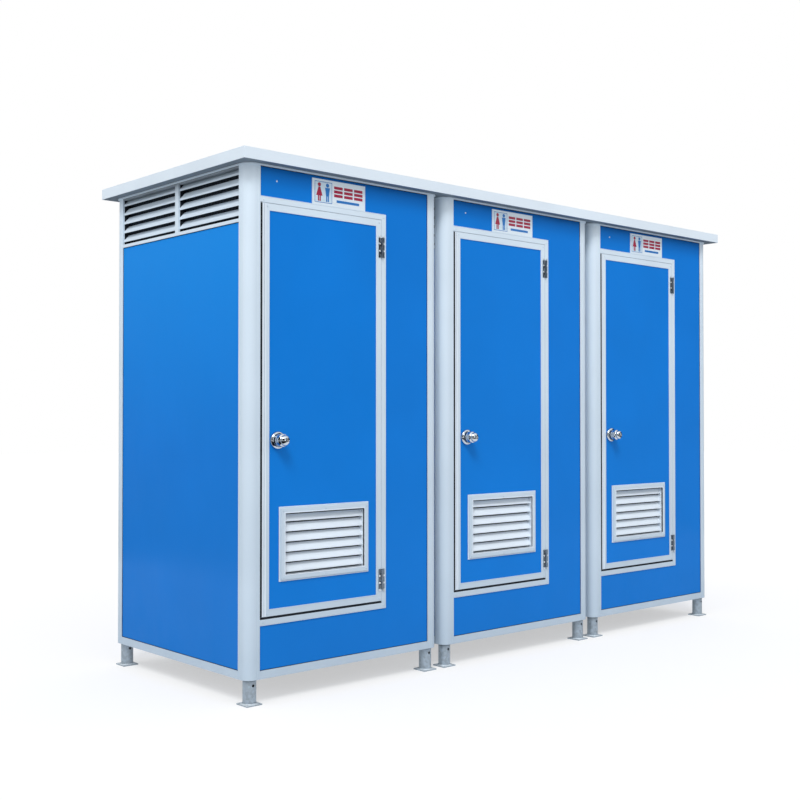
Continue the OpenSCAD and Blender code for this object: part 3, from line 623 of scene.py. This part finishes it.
def finished_copy(node, key, body, radius, segments=2):
    """A copy of a CAD node with its loose triangles merged and its edges rounded."""
    made = bpy.data.objects.new(node + "_finished", NODES[node].data.copy())
    bpy.context.scene.collection.objects.link(made)
    edit(made)
    bpy.ops.mesh.select_all(action="SELECT")
    bpy.ops.mesh.remove_doubles(threshold=0.02 * MM)
    bpy.ops.mesh.dissolve_limited(angle_limit=math.radians(0.5))
    bpy.ops.object.mode_set(mode="OBJECT")
    return dress(rounded(made, radius, segments), key, body, (node,))


def second_finish(piece, key, test):
    """Gives the faces whose normal and centre pass the test a second material."""
    piece.data.materials.append(material(key))
    for face in piece.data.polygons:
        if test(face.normal, face.center):
            face.material_index = 1


# Settings

def length(name, text, default):
    return FloatProperty(name=name, description=text, default=default, subtype="DISTANCE",
                         unit="LENGTH")


def colour(name, text, hex_colour):
    return FloatVectorProperty(name=name, description=text, size=3, subtype="COLOR", min=0.0,
                               max=1.0, default=linear(hex_colour))


class RowSizes(bpy.types.PropertyGroup):
    """Sizes of the finish."""

    profile_edge: length("Profile edge", "Radius of the edges of aluminium profiles", 0.0012)
    sheet_edge: length("Sheet edge", "Radius of the edges of painted panels", 0.0008)
    seal_w: length("Seal width", "Width of the seals round the wall panels", 0.0025)
    bead_w: length("Bead width", "Width of the beads beside the door's panel", 0.005)
    screw_r: length("Screw head", "Radius of a screw head", 0.0036)
    rib_h: length("Rib height", "Height of the ribs on the roof sheets", 0.0025)
    rib_w: length("Rib width", "Width of the ribs on the roof sheets", 0.03)
    rib_count: IntProperty(name="Ribs", description="Number of ribs on a roof sheet", default=4,
                           min=1)


class RowColours(bpy.types.PropertyGroup):
    """Colours of the finish."""

    wall_blue: colour("Wall blue", "Coating of the wall panels", "0678d6")
    door_blue: colour("Door blue", "Coating of the door leaves", "067ad8")
    trim_white: colour("Trim white", "Powder coat of the aluminium profiles", "d8e7f4")
    fascia_white: colour("Fascia white", "Powder coat of the roof's edge", "dfebf6")
    # A lighter copy of the trim white: painted light on the louvre blades, beads and ribs.
    louvre_lit_white: colour("Louvre white", "Powder coat of the louvre blades", "dfeaf5")
    # The roof sheets' dark grey is a painted shade on the soffit under the eaves.
    roof_soffit_shade_grey: colour("Roof grey", "Coating of the roof sheets", "74828f")
    inside: colour("Inside white", "Inner skins of the panels", "e8ecee")
    gasket: colour("Gasket grey", "Seals in the door's top and hinge gaps", "a9b6c2")
    # Painted light: the blue of the side walls towards their top.
    blue_top_light: colour("Paled blue", "Side walls where the sun has bleached them", "1488e2")
    # The next two colours serve dust and streaks, and the painted shade low on the walls.
    blue_dirt_and_shade: colour("Film on blue", "Dulled blue near the ground", "1f6db8")
    white_dirt_and_shade: colour("Film on white", "Dulled white near the ground", "9caebf")
    zinc: colour("Zinc", "Galvanised feet and spacers", "b4c4d2")
    # Painted highlight on the tops of the foot plates.
    plate_top_light: colour("Zinc oxide", "Scuffed zinc of the foot plates", "dde6ed")
    steel: colour("Steel", "Stainless hinges", "7e8a97")
    screw: colour("Screws", "Zinc-plated hinge screws", "e4e9ed")
    chrome: colour("Chrome", "Knobs and roses", "cbd3db")
    rubber: colour("Rubber", "Seals", "0a131e")
    netting: colour("Netting", "Insect screens behind the louvres", "152335")
    china: colour("China", "Squat pan and cistern", "eeefeb")
    floor: colour("Floor", "Floor covering", "848c92")
    sign: colour("Sign", "Sign plate", "e2eef8")
    sign_red: colour("Sign red", "Figure and bar on the sign", "a82447")
    sign_blue: colour("Sign blue", "Figure and bar on the sign", "2277c4")
    sign_pale: colour("Sign pale blue", "Tile behind the figures", "cfe4f3")
    dust: colour("Dust", "Dust and run-off on outdoor surfaces", "8f9294")


# Pieces

class TOILET_OT_profiles(bpy.types.Operator):
    """Finishes the aluminium profiles, panels and steel parts with rounded edges"""

    bl_idname = "toilet.profiles"
    bl_label = "Profiles and panels"

    def execute(self, context):
        sizes = context.scene.row_sizes
        edge, sheet = sizes.profile_edge, sizes.sheet_edge
        for c in CABINS:
            door, knob = "door_%d" % c, "knob_%d" % c
            made = {}
            for part, key, body, slot, radius in (
                    ("corner_posts", "white", ROOT, "trim_white", 0.5 * MM),
                    ("base_frame", "white", ROOT, "trim_white", edge),
                    ("door_frame", "white", ROOT, "trim_white", edge),
                    ("side_walls", "side", ROOT, "wall_blue", sheet),
                    ("rear_wall", "wall", ROOT, "wall_blue", sheet),
                    ("front_wall", "wall", ROOT, "wall_blue", sheet),
                    ("roof_panel", "roof", ROOT, "trim_white", sheet),
                    ("door_trim", "white", door, "trim_white", edge),
                    ("door_panel", "door", door, "door_blue", sheet),
                    ("door_louvre", "louvre", door, "trim_white", 0.8 * MM),
                    ("door_hinge_leaves", "steel", door, "hinge_steel", 0.4 * MM),
                    ("knob_roses", "chrome", door, "chrome", 0),
                    ("outer_knob", "chrome", knob, "chrome", 0),
                    ("inner_knob", "chrome", knob, "chrome", 0),
                    ("latch_bolt", "steel", "latch_%d" % c, "hinge_steel", 0.4 * MM),
                    ("flush_button", "chrome", "button_%d" % c, "chrome", 0.8 * MM)):
                made[part] = finished_copy("%s_%d" % (part, c), key, body, radius)
            second_finish(made["rear_wall"], "inside", FRONT)
            second_finish(made["front_wall"], "inside", facing(1, 1))
            second_finish(made["door_panel"], "inside", facing(1, 1))
            # The faces of the two side walls that look at each other are inner skins too.
            low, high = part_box("side_walls_%d" % c)
            middle = (low.x + high.x) / 2
            second_finish(made["side_walls"], "inside",
                          lambda normal, at: abs(normal.x) > 0.9
                          and normal.x * (middle - at.x) > 0)
            # The louvre's border in front of the leaf has the trim's colour.
            leaf_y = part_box("door_panel_%d" % c)[0].y
            second_finish(made["door_louvre"], "white",
                          lambda normal, at: at.y < leaf_y - 0.1 * MM)
        for part, key, slot, radius in (
                ("top_frames", "white", "trim_white", edge),
                ("roof_fascia", "fascia", "trim_white", edge),
                ("roof_joint_strips", "fascia", "trim_white", edge),
                ("side_louvres", "vent", "trim_white", 0.8 * MM),
                ("feet", "zinc", "zinc", 0.6 * MM),
                ("base_spacers", "zinc", "zinc", edge),
                ("jamb_hinge_leaves", "steel", "hinge_steel", 0.4 * MM),
                ("sign_plates", "sign", "sign_plastic", 0.6 * MM),
                ("floor_decks", "vinyl", "floor_grey", edge)):
            finished_copy(part, key, ROOT, radius)
        return {"FINISHED"}


class TOILET_OT_sanitary(bpy.types.Operator):
    """Finishes the squat pans, cisterns and flush pipes, and adds the pipe nuts"""

    bl_idname = "toilet.sanitary"
    bl_label = "Pans and cisterns"

    def execute(self, context):
        finished_copy("squat_pans", "china", ROOT, 4 * MM, 3)
        finished_copy("cisterns", "abs", ROOT, 6 * MM, 3)
        finished_copy("flush_pipes", "abs", ROOT, 0)
        low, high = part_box("flush_pipes")
        y, radius = (low.y + high.y) / 2, (high.y - low.y) / 2
        nuts = []
        for c in CABINS:
            post_low, post_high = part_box("corner_posts_%d" % c)
            x = (post_low.x + post_high.x) / 2
            nut = hollowed(disc("pipe_nut", (x, y, high.z - 13 * MM), radius + 7 * MM, 22 * MM,
                                24, (0, 0, 0)), 6.2 * MM, 2)
            # Grip ribs: every other outer side face is pushed in a little.
            inset_faces(nut, lambda normal, at: abs(normal.z) < 0.1
                        and math.hypot(at.x - x, at.y - y) > radius + 5 * MM
                        and round(bearing(at, x, y) / 15 - 0.5) % 2 == 0,
                        (0.8 * MM, -1.0 * MM), individual=True)
            nuts.append(rounded(nut, 0.4 * MM))
        dress(joined("flush_pipe_nuts", nuts), "abs", ROOT)
        return {"FINISHED"}


class TOILET_OT_seals(bpy.types.Operator):
    """Adds the seals round the wall panels, the leaves and their gaps"""

    bl_idname = "toilet.seals"
    bl_label = "Seals"

    def execute(self, context):
        width = context.scene.row_sizes.seal_w
        thick = 1.2 * MM
        for c in CABINS:
            low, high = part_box("corner_posts_%d" % c)
            left, right = low.x + POST_FLANGE, high.x - POST_FLANGE
            near, far = low.y + POST_FLANGE, high.y - POST_FLANGE
            front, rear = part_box("front_wall_%d" % c)[0].y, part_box("rear_wall_%d" % c)[1].y
            side_low, side_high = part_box("side_walls_%d" % c)
            base, eaves = side_low.z, side_high.z
            # Black seals round the wall panels; along the posts' flanges they also paint the
            # flanges' shadow line.
            parts = [hollowed(block("seal", *corners), width, axis) for axis, *corners in (
                (1, (left, rear, base), (right, rear + thick, high.z)),
                (0, (side_low.x - thick, near, base), (side_low.x, far, eaves)),
                (0, (side_high.x, near, base), (side_high.x + thick, far, eaves)),
                (1, (left, front - thick, base), (right, front, high.z)))]
            dress(rounded(joined("wall_seals_and_shadow_lines_%d" % c, parts), 0.4 * MM), "rubber", ROOT)
            low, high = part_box("door_trim_%d" % c)
            stop_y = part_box("door_frame_%d" % c)[1].y - 5 * MM
            seal = block("door_seal_%d" % c, Vector((low.x, high.y, low.z)) + mm(-3.6, 0.4, -7.6),
                         Vector((high.x, stop_y, high.z)) + mm(2.6, 0, 2.6))
            dress(rounded(hollowed(seal, 12 * MM), 0.5 * MM), "rubber", ROOT)
            self.lock_seal_and_shadow_strip(c, low, high)
            self.gap_seals(c, low, high)
        return {"FINISHED"}

    def lock_seal_and_shadow_strip(self, c, low, high):
        """The black rubber strip on the leaf's lock edge that covers the gap beside the post, and
        paints the gap's shadow as a dark line.
        """
        lip = block("lock_strip_%d" % c, low + mm(-3.4, -1.1, 1),
                    Vector((low.x, low.y, high.z)) + mm(4.2, 0.2, -1))
        inset_faces(lip, FRONT, (1.4 * MM, 0), (0.5 * MM, -0.5 * MM))
        dress(rounded(lip, 0.2 * MM), "rubber", "door_%d" % c)

    def gap_seals(self, c, low, high):
        """Grey lips in the top and hinge gaps, and a black one on the sill, all on the frame."""
        upper, hinge_side = Vector((high.x, low.y, high.z)), Vector((high.x, low.y, low.z))
        lips = [block("seal", Vector((low.x, low.y, high.z)) + mm(2, 1, 0.5),
                      upper + mm(0.4, 9, 2.9)),
                block("seal", hinge_side + mm(0.5, 1, 0), upper + mm(2.9, 9, 2.9))]
        for lip in lips:
            inset_faces(lip, FRONT, (0.5 * MM, -0.4 * MM))
        dress(rounded(joined("frame_gasket_%d" % c, lips), 0.3 * MM), "gasket", ROOT)
        sill = block("sill_seal_%d" % c, low + mm(-3.5, 0.6, -9.9),
                     hinge_side + mm(2.5, 14, -2.6))
        inset_faces(sill, facing(2, 1), (2.5 * MM, 0), (1.0 * MM, 1.2 * MM))
        dress(rounded(sill, 0.4 * MM), "rubber", ROOT)


class TOILET_OT_beads(bpy.types.Operator):
    """Adds the beads, ribs and strips on the leaves, and the lips round the door frames"""

    bl_idname = "toilet.beads"
    bl_label = "Beads"

    def execute(self, context):
        width = context.scene.row_sizes.bead_w
        for c in CABINS:
            door = "door_%d" % c
            panel_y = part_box("door_panel_%d" % c)[0].y
            low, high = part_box("door_trim_%d" % c)
            self.bead("door_bead_%d" % c, "white", door,
                      low + Vector((TRIM_LOCK_W, -0.6 * MM, TRIM_W)),
                      (high.x - TRIM_W, panel_y, high.z - TRIM_W), width, 1.2 * MM)
            self.louvre_beads(c, door, panel_y)
            foot, head = low + mm(0, 0, 1), Vector((low.x, low.y, high.z - 1 * MM))
            ribs = [block("rib", foot + mm(x0, -2.6, 0), head + mm(x1, 0.3, 0))
                    for x0, x1 in ((5.0, 12.6), (16.4, 24.5))]
            # The ribs take the louvre's whiter coat, a painted highlight.
            dress(rounded(joined("trim_ribs_%d" % c, ribs), 0.8 * MM, 3), "louvre", door)
            # Painted shade: a grey strip at the bottom of the groove between the ribs.
            groove_shade = block("trim_groove_shade_strip_%d" % c, foot + mm(12.4, -0.5, 1),
                           head + mm(16.6, 0.2, -1))
            dress(rounded(groove_shade, 0.2 * MM), "gasket", door)
            self.frame_lip(c)
        return {"FINISHED"}

    def bead(self, name, key, door, low, high, width, radius):
        """A raised flat ring on the leaf."""
        dress(rounded(hollowed(block(name, low, high), width), radius, 3), key, door)

    def louvre_beads(self, c, door, panel_y):
        """The beads inside and outside a louvre's border, and a black strip at its top that paints
        the shadow under the border's lip.
        """
        low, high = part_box("door_louvre_%d" % c)
        corner = Vector((high.x, panel_y, high.z))
        self.bead("louvre_bead_%d" % c, "louvre", door, low + mm(23.5, -0.8, 23.5),
                  corner + mm(-23.5, 0, -23.5), 4.5 * MM, 1.0 * MM)
        self.bead("louvre_lip_%d" % c, "louvre", door, low + mm(0.5, 5.4, 0.5),
                  corner + mm(-0.5, -0.2, -0.5), 2.6 * MM, 0.8 * MM)
        # Painted shadow: a black strip under the border's top lip.
        top_shadow_strip = block("louvre_top_shadow_strip_%d" % c,
                     Vector((low.x, panel_y, high.z)) + mm(28.4, -7, -32.4),
                     corner + mm(-28.4, -1, -27.9))
        inset_faces(top_shadow_strip, FRONT, (1.2 * MM, 0), (0.4 * MM, -0.4 * MM))
        dress(rounded(top_shadow_strip, 0.2 * MM), "rubber", door)

    def frame_lip(self, c):
        """A lip on the wall round the door frame, at its top, bottom and hinge side."""
        low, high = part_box("door_frame_%d" % c)
        wall_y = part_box("front_wall_%d" % c)[0].y
        post_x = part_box("corner_posts_%d" % c)[0].x + POST_FLANGE
        lip, front = 3 * MM, low.y - 0.6 * MM
        parts = [block("lip", (x0, front, z0), (x1, wall_y, z1)) for x0, x1, z0, z1 in (
            (post_x, high.x, high.z, high.z + lip), (post_x, high.x, low.z - lip, low.z),
            (high.x, high.x + lip, low.z - lip, high.z + lip))]
        dress(rounded(joined("frame_lip_%d" % c, parts), 1.0 * MM, 3), "white", ROOT)


def screw_pattern(radius):
    """A pan-head screw facing -Y with a stepped recess, its seat at the origin."""
    made = disc("screw", (0, -radius * 0.275, 0), radius, radius * 0.55, 20)
    inset_faces(made, FRONT, (radius * 0.28, radius * 0.16), (radius * 0.22, 0),
                (radius * 0.2, -radius * 0.3))
    return rounded(made, radius * 0.08, 1)


class TOILET_OT_screws(bpy.types.Operator):
    """Adds the screws of the hinges and louvres, and the rivets of the leaves and frames"""

    bl_idname = "toilet.screws"
    bl_label = "Screws"

    def execute(self, context):
        corner, lock_side = 11 * MM, 30 * MM
        for c in CABINS:
            door = "door_%d" % c
            leaf_low, leaf_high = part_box("door_trim_%d" % c)
            self.hinge_screws(c, door, leaf_low.y - 2 * MM, leaf_high.x + 1.5 * MM)
            low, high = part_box("door_louvre_%d" % c)
            inset = 17 * MM
            self.heads("louvre_screws_%d" % c, door,
                       [(x, low.y, z)
                        for x in (low.x + inset, (low.x + high.x) / 2, high.x - inset)
                        for z in (low.z + inset, high.z - inset)])
            frame_low, frame_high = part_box("door_frame_%d" % c)
            leaf, frame_corners = [
                [(x, low.y, z) for x in (low.x + lock_side, high.x - corner)
                 for z in (low.z + corner, high.z - corner)]
                for low, high in ((leaf_low, leaf_high), (frame_low, frame_high))]
            self.heads("trim_rivets_%d" % c, door, leaf)
            # One more rivet sits at the top left of the front wall.
            post_low, post_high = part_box("corner_posts_%d" % c)
            wall_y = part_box("front_wall_%d" % c)[0].y
            frame_corners.append((post_low.x + 147 * MM, wall_y, post_high.z - 54 * MM))
            self.heads("frame_rivets_%d" % c, ROOT, frame_corners)
        return {"FINISHED"}

    def heads(self, name, body, places):
        """White screw heads, one at each place."""
        radius = bpy.context.scene.row_sizes.screw_r
        dress(copy_at(screw_pattern(radius), places, name), "white", body)

    def hinge_screws(self, c, door, plate_y, pin_x):
        """Rows of three screws on both sides of each hinge's pin."""
        low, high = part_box("door_hinge_leaves_%d" % c)
        # The middle screw's distance from the end of its hinge that is nearer to the leaf's end
        middle = 0.3 * HINGE_H - 0.15 * MM
        apart, from_pin, radius = 32 * MM, 11.9 * MM, 4.6 * MM
        heights = [z + dz for z in (low.z + middle, high.z - middle)
                   for dz in (-apart, 0.0, apart)]
        for side, body, where in ((-1, door, "leaf"), (1, ROOT, "frame")):
            places = [(pin_x + side * from_pin, plate_y, z) for z in heights]
            dress(copy_at(screw_pattern(radius), places, "hinge_screws_%s_%d" % (where, c)),
                  "screw", body)


class TOILET_OT_screens(bpy.types.Operator):
    """Adds the insect screens behind the louvres, and the black edging of the ventilation"""

    bl_idname = "toilet.screens"
    bl_label = "Insect screens"

    def execute(self, context):
        thick, play = 0.8 * MM, 0.3 * MM
        border = LOUVRE_BORDER + play
        for c in CABINS:
            low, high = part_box("door_louvre_%d" % c)
            rear = high.y - 1.4 * MM
            sheet = block("door_screen_%d" % c, (low.x + border, rear, low.z + border),
                          (high.x - border, rear + thick, high.z - border))
            dress(self.hemmed(sheet, 1), "netting", "door_%d" % c)
            low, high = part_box("corner_posts_%d" % c)
            middle = (low.y + high.y) / 2
            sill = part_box("side_walls_%d" % c)[1].z + VENT_SILL + play
            top = high.z - VENT_HEAD - play
            lights = ((low.y + POST_FLANGE + play, middle - HALF_MULLION - play),
                      (middle + HALF_MULLION + play, high.y - POST_FLANGE - play))
            sheets = [self.hemmed(block("screen", (x, y0, sill), (x + thick, y1, top)), 0)
                      for x in (low.x + VENT_DEPTH, high.x - VENT_DEPTH - thick)
                      for y0, y1 in lights]
            dress(joined("side_screens_%d" % c, sheets), "netting", ROOT)
            self.reveals(c, low, high, middle, sill, top)
        return {"FINISHED"}

    def hemmed(self, sheet, axis):
        """Folds a slightly thicker hem, 6 mm wide, round a screen."""
        return inset_faces(sheet, facing(axis), (6 * MM, 0), (0.5 * MM, -0.15 * MM))

    def reveals(self, c, low, high, middle, sill, top):
        """Black edging on the upright sides of the ventilation lights, behind the blades' lips."""
        thick, lip = 0.9 * MM, 9 * MM
        parts = [block("reveal", (x0, y, sill), (x1, y + thick, top))
                 for x0, x1 in ((low.x + lip, low.x + VENT_DEPTH),
                                (high.x - VENT_DEPTH, high.x - lip))
                 for y in (low.y + POST_FLANGE, middle - HALF_MULLION - thick,
                           middle + HALF_MULLION, high.y - POST_FLANGE - thick)]
        for strip in parts:
            inset_faces(strip, facing(1), (3 * MM, 0))
        dress(rounded(joined("side_reveals_%d" % c, parts), 0.2 * MM, 1), "rubber", ROOT)


class TOILET_OT_signs(bpy.types.Operator):
    """Adds the frame, the figures and the plain colour bars of the signs"""

    bl_idname = "toilet.signs"
    bl_label = "Signs"

    def execute(self, context):
        low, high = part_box("sign_plates")
        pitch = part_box("corner_posts_2")[0].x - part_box("corner_posts_1")[0].x
        middle = (low.z + high.z) / 2
        tile_w, tile_h = 94 * MM, 90 * MM
        bar_h, bar_rise = 12 * MM, 17 * MM
        for c in CABINS:
            left, right = low.x + (c - 1) * pitch, high.x - (CABINS[-1] - c) * pitch
            face = low.y
            edge = hollowed(block("sign_frame_%d" % c, (left, face - 1.2 * MM, low.z),
                                  (right, face, high.z)), 3.5 * MM)
            dress(rounded(edge, 0.5 * MM), "white", ROOT)
            x0, z0 = left + 13 * MM, middle - tile_h / 2
            x1, z1 = x0 + tile_w, z0 + tile_h
            tile = block("sign_tile_%d" % c, (x0, face - FILM_T, z0), (x1, face, z1))
            edit(tile)
            pick(tile, FRONT)
            bpy.ops.mesh.inset(thickness=2 * MM, depth=0)
            bpy.ops.object.mode_set(mode="OBJECT")
            dress(rounded(tile, 0.15 * MM), "sign_pale", ROOT)
            outline = hollowed(block("outline", (x0, face - 2 * FILM_T, z0),
                                     (x1, face - FILM_T, z1)), 2 * MM)
            woman = self.figure(x0 + 25 * MM, face - FILM_T, middle, 17 * MM, 0.3, 1.0)
            man = self.figure(x1 - 25 * MM, face - FILM_T, middle, 13 * MM, 1.0, 0.6)
            # Plain bars take the place of words.
            bar_x = x1 + 7 * MM
            step, gap = (right - 11 * MM - bar_x) / 3, 4 * MM
            bars = [block("bar", (bar_x + k * step + gap, face - FILM_T, z),
                          (bar_x + (k + 1) * step - gap, face, z + bar_h))
                    for k in range(3)
                    for z in [middle - 13 * MM + row * bar_rise for row in range(3)]]
            blue_bar = block("bar", (bar_x + 18 * MM, face - FILM_T, middle - 36 * MM),
                             (right - 34 * MM, face, middle - 25 * MM))
            red = joined("sign_red_%d" % c, [woman] + bars)
            blue = joined("sign_blue_%d" % c, [man, outline, blue_bar])
            dress(rounded(red, 0.1 * MM, 1), "sign_red", ROOT)
            dress(rounded(blue, 0.1 * MM, 1), "sign_blue", ROOT)
        return {"FINISHED"}

    def figure(self, x, y, z, half, upper, lower):
        """A standing figure cut from film: round head, tapered body and two legs.

        half is half the width of the body, and upper and lower the shares of it that its upper
        and lower edges keep.
        """
        front, back = Vector((x, y - FILM_T, z)), Vector((x, y, z))
        head = disc("head", (x, y - FILM_T / 2, z + 31 * MM), 8.5 * MM, FILM_T, 28)
        body = block("body", front - Vector((half, 0, 16 * MM)),
                     back + Vector((half, 0, 21 * MM)))
        edit(body)
        for side, share in ((1, upper), (-1, lower)):
            bpy.ops.mesh.select_all(action="DESELECT")
            pick(body, facing(2, side))
            bpy.ops.transform.resize(value=(share, 1, 1))
        bpy.ops.object.mode_set(mode="OBJECT")
        legs = [block("leg", front + mm(dx - 3.2, 0, -39), back + mm(dx + 3.2, 0, -16))
                for dx in (-4.5, 4.5)]
        return joined("figure", [head, body] + legs)


class TOILET_OT_roof(bpy.types.Operator):
    """Adds the shallow ribs of the roof sheets"""

    bl_idname = "toilet.roof"
    bl_label = "Roof ribs"

    def execute(self, context):
        sizes = context.scene.row_sizes
        for c in CABINS:
            low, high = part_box("roof_panel_%d" % c)
            margin, end = 30 * MM, 14 * MM
            pitch = (high.x - low.x - 2 * margin) / (sizes.rib_count + 1)
            ribs = []
            for k in range(sizes.rib_count):
                x = low.x + margin + (k + 1) * pitch
                rib = block("rib", (x - sizes.rib_w / 2, low.y + end, high.z),
                            (x + sizes.rib_w / 2, high.y - end, high.z + sizes.rib_h))
                edit(rib)
                pick(rib, facing(2, 1))
                bpy.ops.transform.resize(value=(0.6, 0.99, 1))
                bpy.ops.object.mode_set(mode="OBJECT")
                ribs.append(rib)
            dress(rounded(joined("roof_ribs_%d" % c, ribs), 0.8 * MM), "roof", ROOT)
        return {"FINISHED"}


class TOILET_OT_welds(bpy.types.Operator):
    """Adds the weld beads between the foot tubes, plates and base frames"""

    bl_idname = "toilet.welds"
    bl_label = "Foot welds"

    def execute(self, context):
        beads = []
        for c in CABINS:
            low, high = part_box("corner_posts_%d" % c)
            for x in (low.x + TUBE_IN, high.x - TUBE_IN):
                for y in (low.y + TUBE_IN, high.y - TUBE_IN):
                    ready()
                    bpy.ops.mesh.primitive_torus_add(
                        location=(x, y, PLATE_T + 0.5 * MM), major_radius=29 * MM,
                        minor_radius=2.6 * MM, major_segments=72, minor_segments=8)
                    bead = settle("weld")
                    edit(bead)
                    # Ripples of a hand weld: every third ring of faces swells.
                    pick(bead, lambda normal, at: round(bearing(at, x, y) / 5) % 3 == 0)
                    bpy.ops.transform.shrink_fatten(value=0.5 * MM)
                    only(outward(bead))
                    bpy.ops.object.shade_smooth()
                    beads.append(bead)
        dress(joined("foot_welds", beads), "zinc", ROOT)
        return {"FINISHED"}


class TOILET_OT_key_discs(bpy.types.Operator):
    """Adds the lock cylinders in the ends of the outer knobs"""

    bl_idname = "toilet.key_discs"
    bl_label = "Lock cylinders"

    def execute(self, context):
        for c in CABINS:
            knob = "knob_%d" % c
            low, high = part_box("outer_knob_%d" % c)
            end = Vector(((low.x + high.x) / 2, low.y, (low.z + high.z) / 2))
            plug = disc("lock_cylinder_%d" % c, end + mm(0, 0.9, 0), 7.5 * MM, 1.6 * MM, 32)
            inset_faces(plug, FRONT, (1.0 * MM, 0), (0.4 * MM, -0.4 * MM))
            key_slot = block("key_slot_%d" % c, end + mm(-0.6, 0.05, -4), end + mm(0.6, 0.75, 4))
            dress(rounded(plug, 0.2 * MM), "chrome", knob)
            dress(rounded(key_slot, 0.3 * MM), "rubber", knob)
        return {"FINISHED"}


class TOILET_OT_stage(bpy.types.Operator):
    """Adds the floor, the soft studio light and the camera"""

    bl_idname = "toilet.stage"
    bl_label = "Stage"

    def execute(self, context):
        ready()
        bpy.ops.mesh.primitive_grid_add(x_subdivisions=8, y_subdivisions=8, size=60,
                                        location=(0, 0, 0))
        floor = settle("studio_floor")
        floor.data.materials.append(studio_floor())

        world = context.scene.world = bpy.data.worlds.new("studio")
        world.use_nodes = True
        tree = world.node_tree
        tree.nodes.clear()
        strength = add(tree, "MapRange", (seen_directly(tree), 0.0, 1.0, 0.6, 1.0))
        sky = add(tree, "Background", {"Color": (1.0, 1.0, 1.0, 1.0), "Strength": strength})
        add(tree, "OutputWorld", {"Surface": sky})

        self.sun("key_light", (-0.55, -0.55, 0.85), 1.6, 20.0)
        self.sun("fill_light", (0.1, -1.0, 0.35), 0.42, 60.0)
        self.sun("side_light", (-1.0, 0.1, 0.4), 0.48, 60.0)
        self.flags()

        bpy.ops.object.camera_add(location=CAMERA_PLACE,
                                  rotation=(math.radians(CAMERA_TILT), 0.0,
                                            math.radians(CAMERA_TURN)))
        camera = context.object
        camera.name = "photo_camera"
        camera.data.sensor_width = SENSOR_W
        camera.data.lens = SENSOR_W * FOCAL_PX / PHOTO_PX
        camera.data.clip_end = 200.0
        context.scene.camera = camera
        context.scene.view_settings.view_transform = "Standard"
        return {"FINISHED"}

    def flags(self):
        """Black cards round the studio, seen by mirrors only, that draw the chrome's shape."""
        sides = 28
        ready()
        bpy.ops.mesh.primitive_cylinder_add(vertices=sides, radius=9, depth=5.0,
                                            end_fill_type="NOTHING", location=(0, 0, 3.2))
        cards = settle("studio_flags")
        edit(cards)
        # Every fourth card is left out.
        pick(cards, lambda normal, at: int(bearing(at) / 12.86 + sides) % 4 == 0)
        bpy.ops.mesh.delete(type="FACE")
        bpy.ops.object.mode_set(mode="OBJECT")
        self.card(cards)
        ready()
        bpy.ops.mesh.primitive_cone_add(vertices=sides, radius1=8.5, radius2=1.95, depth=0.3,
                                        end_fill_type="NOTHING", location=(0, 0, 0.3))
        self.card(settle("studio_low_flag"))

    def card(self, cards):
        """Covers cards with black cloth and hides them from all but mirrors."""
        cards.data.materials.append(black_cloth())
        for ray in ("camera", "diffuse", "transmission", "volume_scatter", "shadow"):
            setattr(cards, "visible_" + ray, False)

    def sun(self, name, towards, energy, angle):
        """A soft far lamp that shines from the direction towards."""
        ready()
        turned = Vector(towards).to_track_quat("Z", "Y").to_euler()
        bpy.ops.object.light_add(type="SUN", location=Vector(towards) * 8, rotation=turned)
        lamp = bpy.context.object
        lamp.name = name
        lamp.data.energy = energy
        lamp.data.angle = math.radians(angle)


STEPS = (TOILET_OT_profiles, TOILET_OT_sanitary, TOILET_OT_seals, TOILET_OT_beads,
         TOILET_OT_screws, TOILET_OT_screens, TOILET_OT_signs, TOILET_OT_roof,
         TOILET_OT_welds, TOILET_OT_key_discs, TOILET_OT_stage)


class TOILET_PT_row(bpy.types.Panel):
    """Sizes, colours and steps of the finish"""

    bl_idname = "TOILET_PT_row"
    bl_label = "Toilet row"
    bl_space_type = "VIEW_3D"
    bl_region_type = "UI"
    bl_category = "Toilet row"

    def draw(self, context):
        for group in (context.scene.row_sizes, context.scene.row_colours):
            column = self.layout.column()
            for name in group.__annotations__:
                column.prop(group, name)
        for step in STEPS:
            self.layout.operator(step.bl_idname)


CLASSES = (RowSizes, RowColours, *STEPS, TOILET_PT_row)


def register():
    for cls in CLASSES:
        bpy.utils.register_class(cls)
    bpy.types.Scene.row_sizes = PointerProperty(type=RowSizes)
    bpy.types.Scene.row_colours = PointerProperty(type=RowColours)


def unregister():
    del bpy.types.Scene.row_colours
    del bpy.types.Scene.row_sizes
    for cls in reversed(CLASSES):
        bpy.utils.unregister_class(cls)


def main():
    ready()
    register()
    for step in STEPS:
        group, name = step.bl_idname.split(".")
        getattr(getattr(bpy.ops, group), name)()
    ready()


if __name__ == "__main__":
    main()
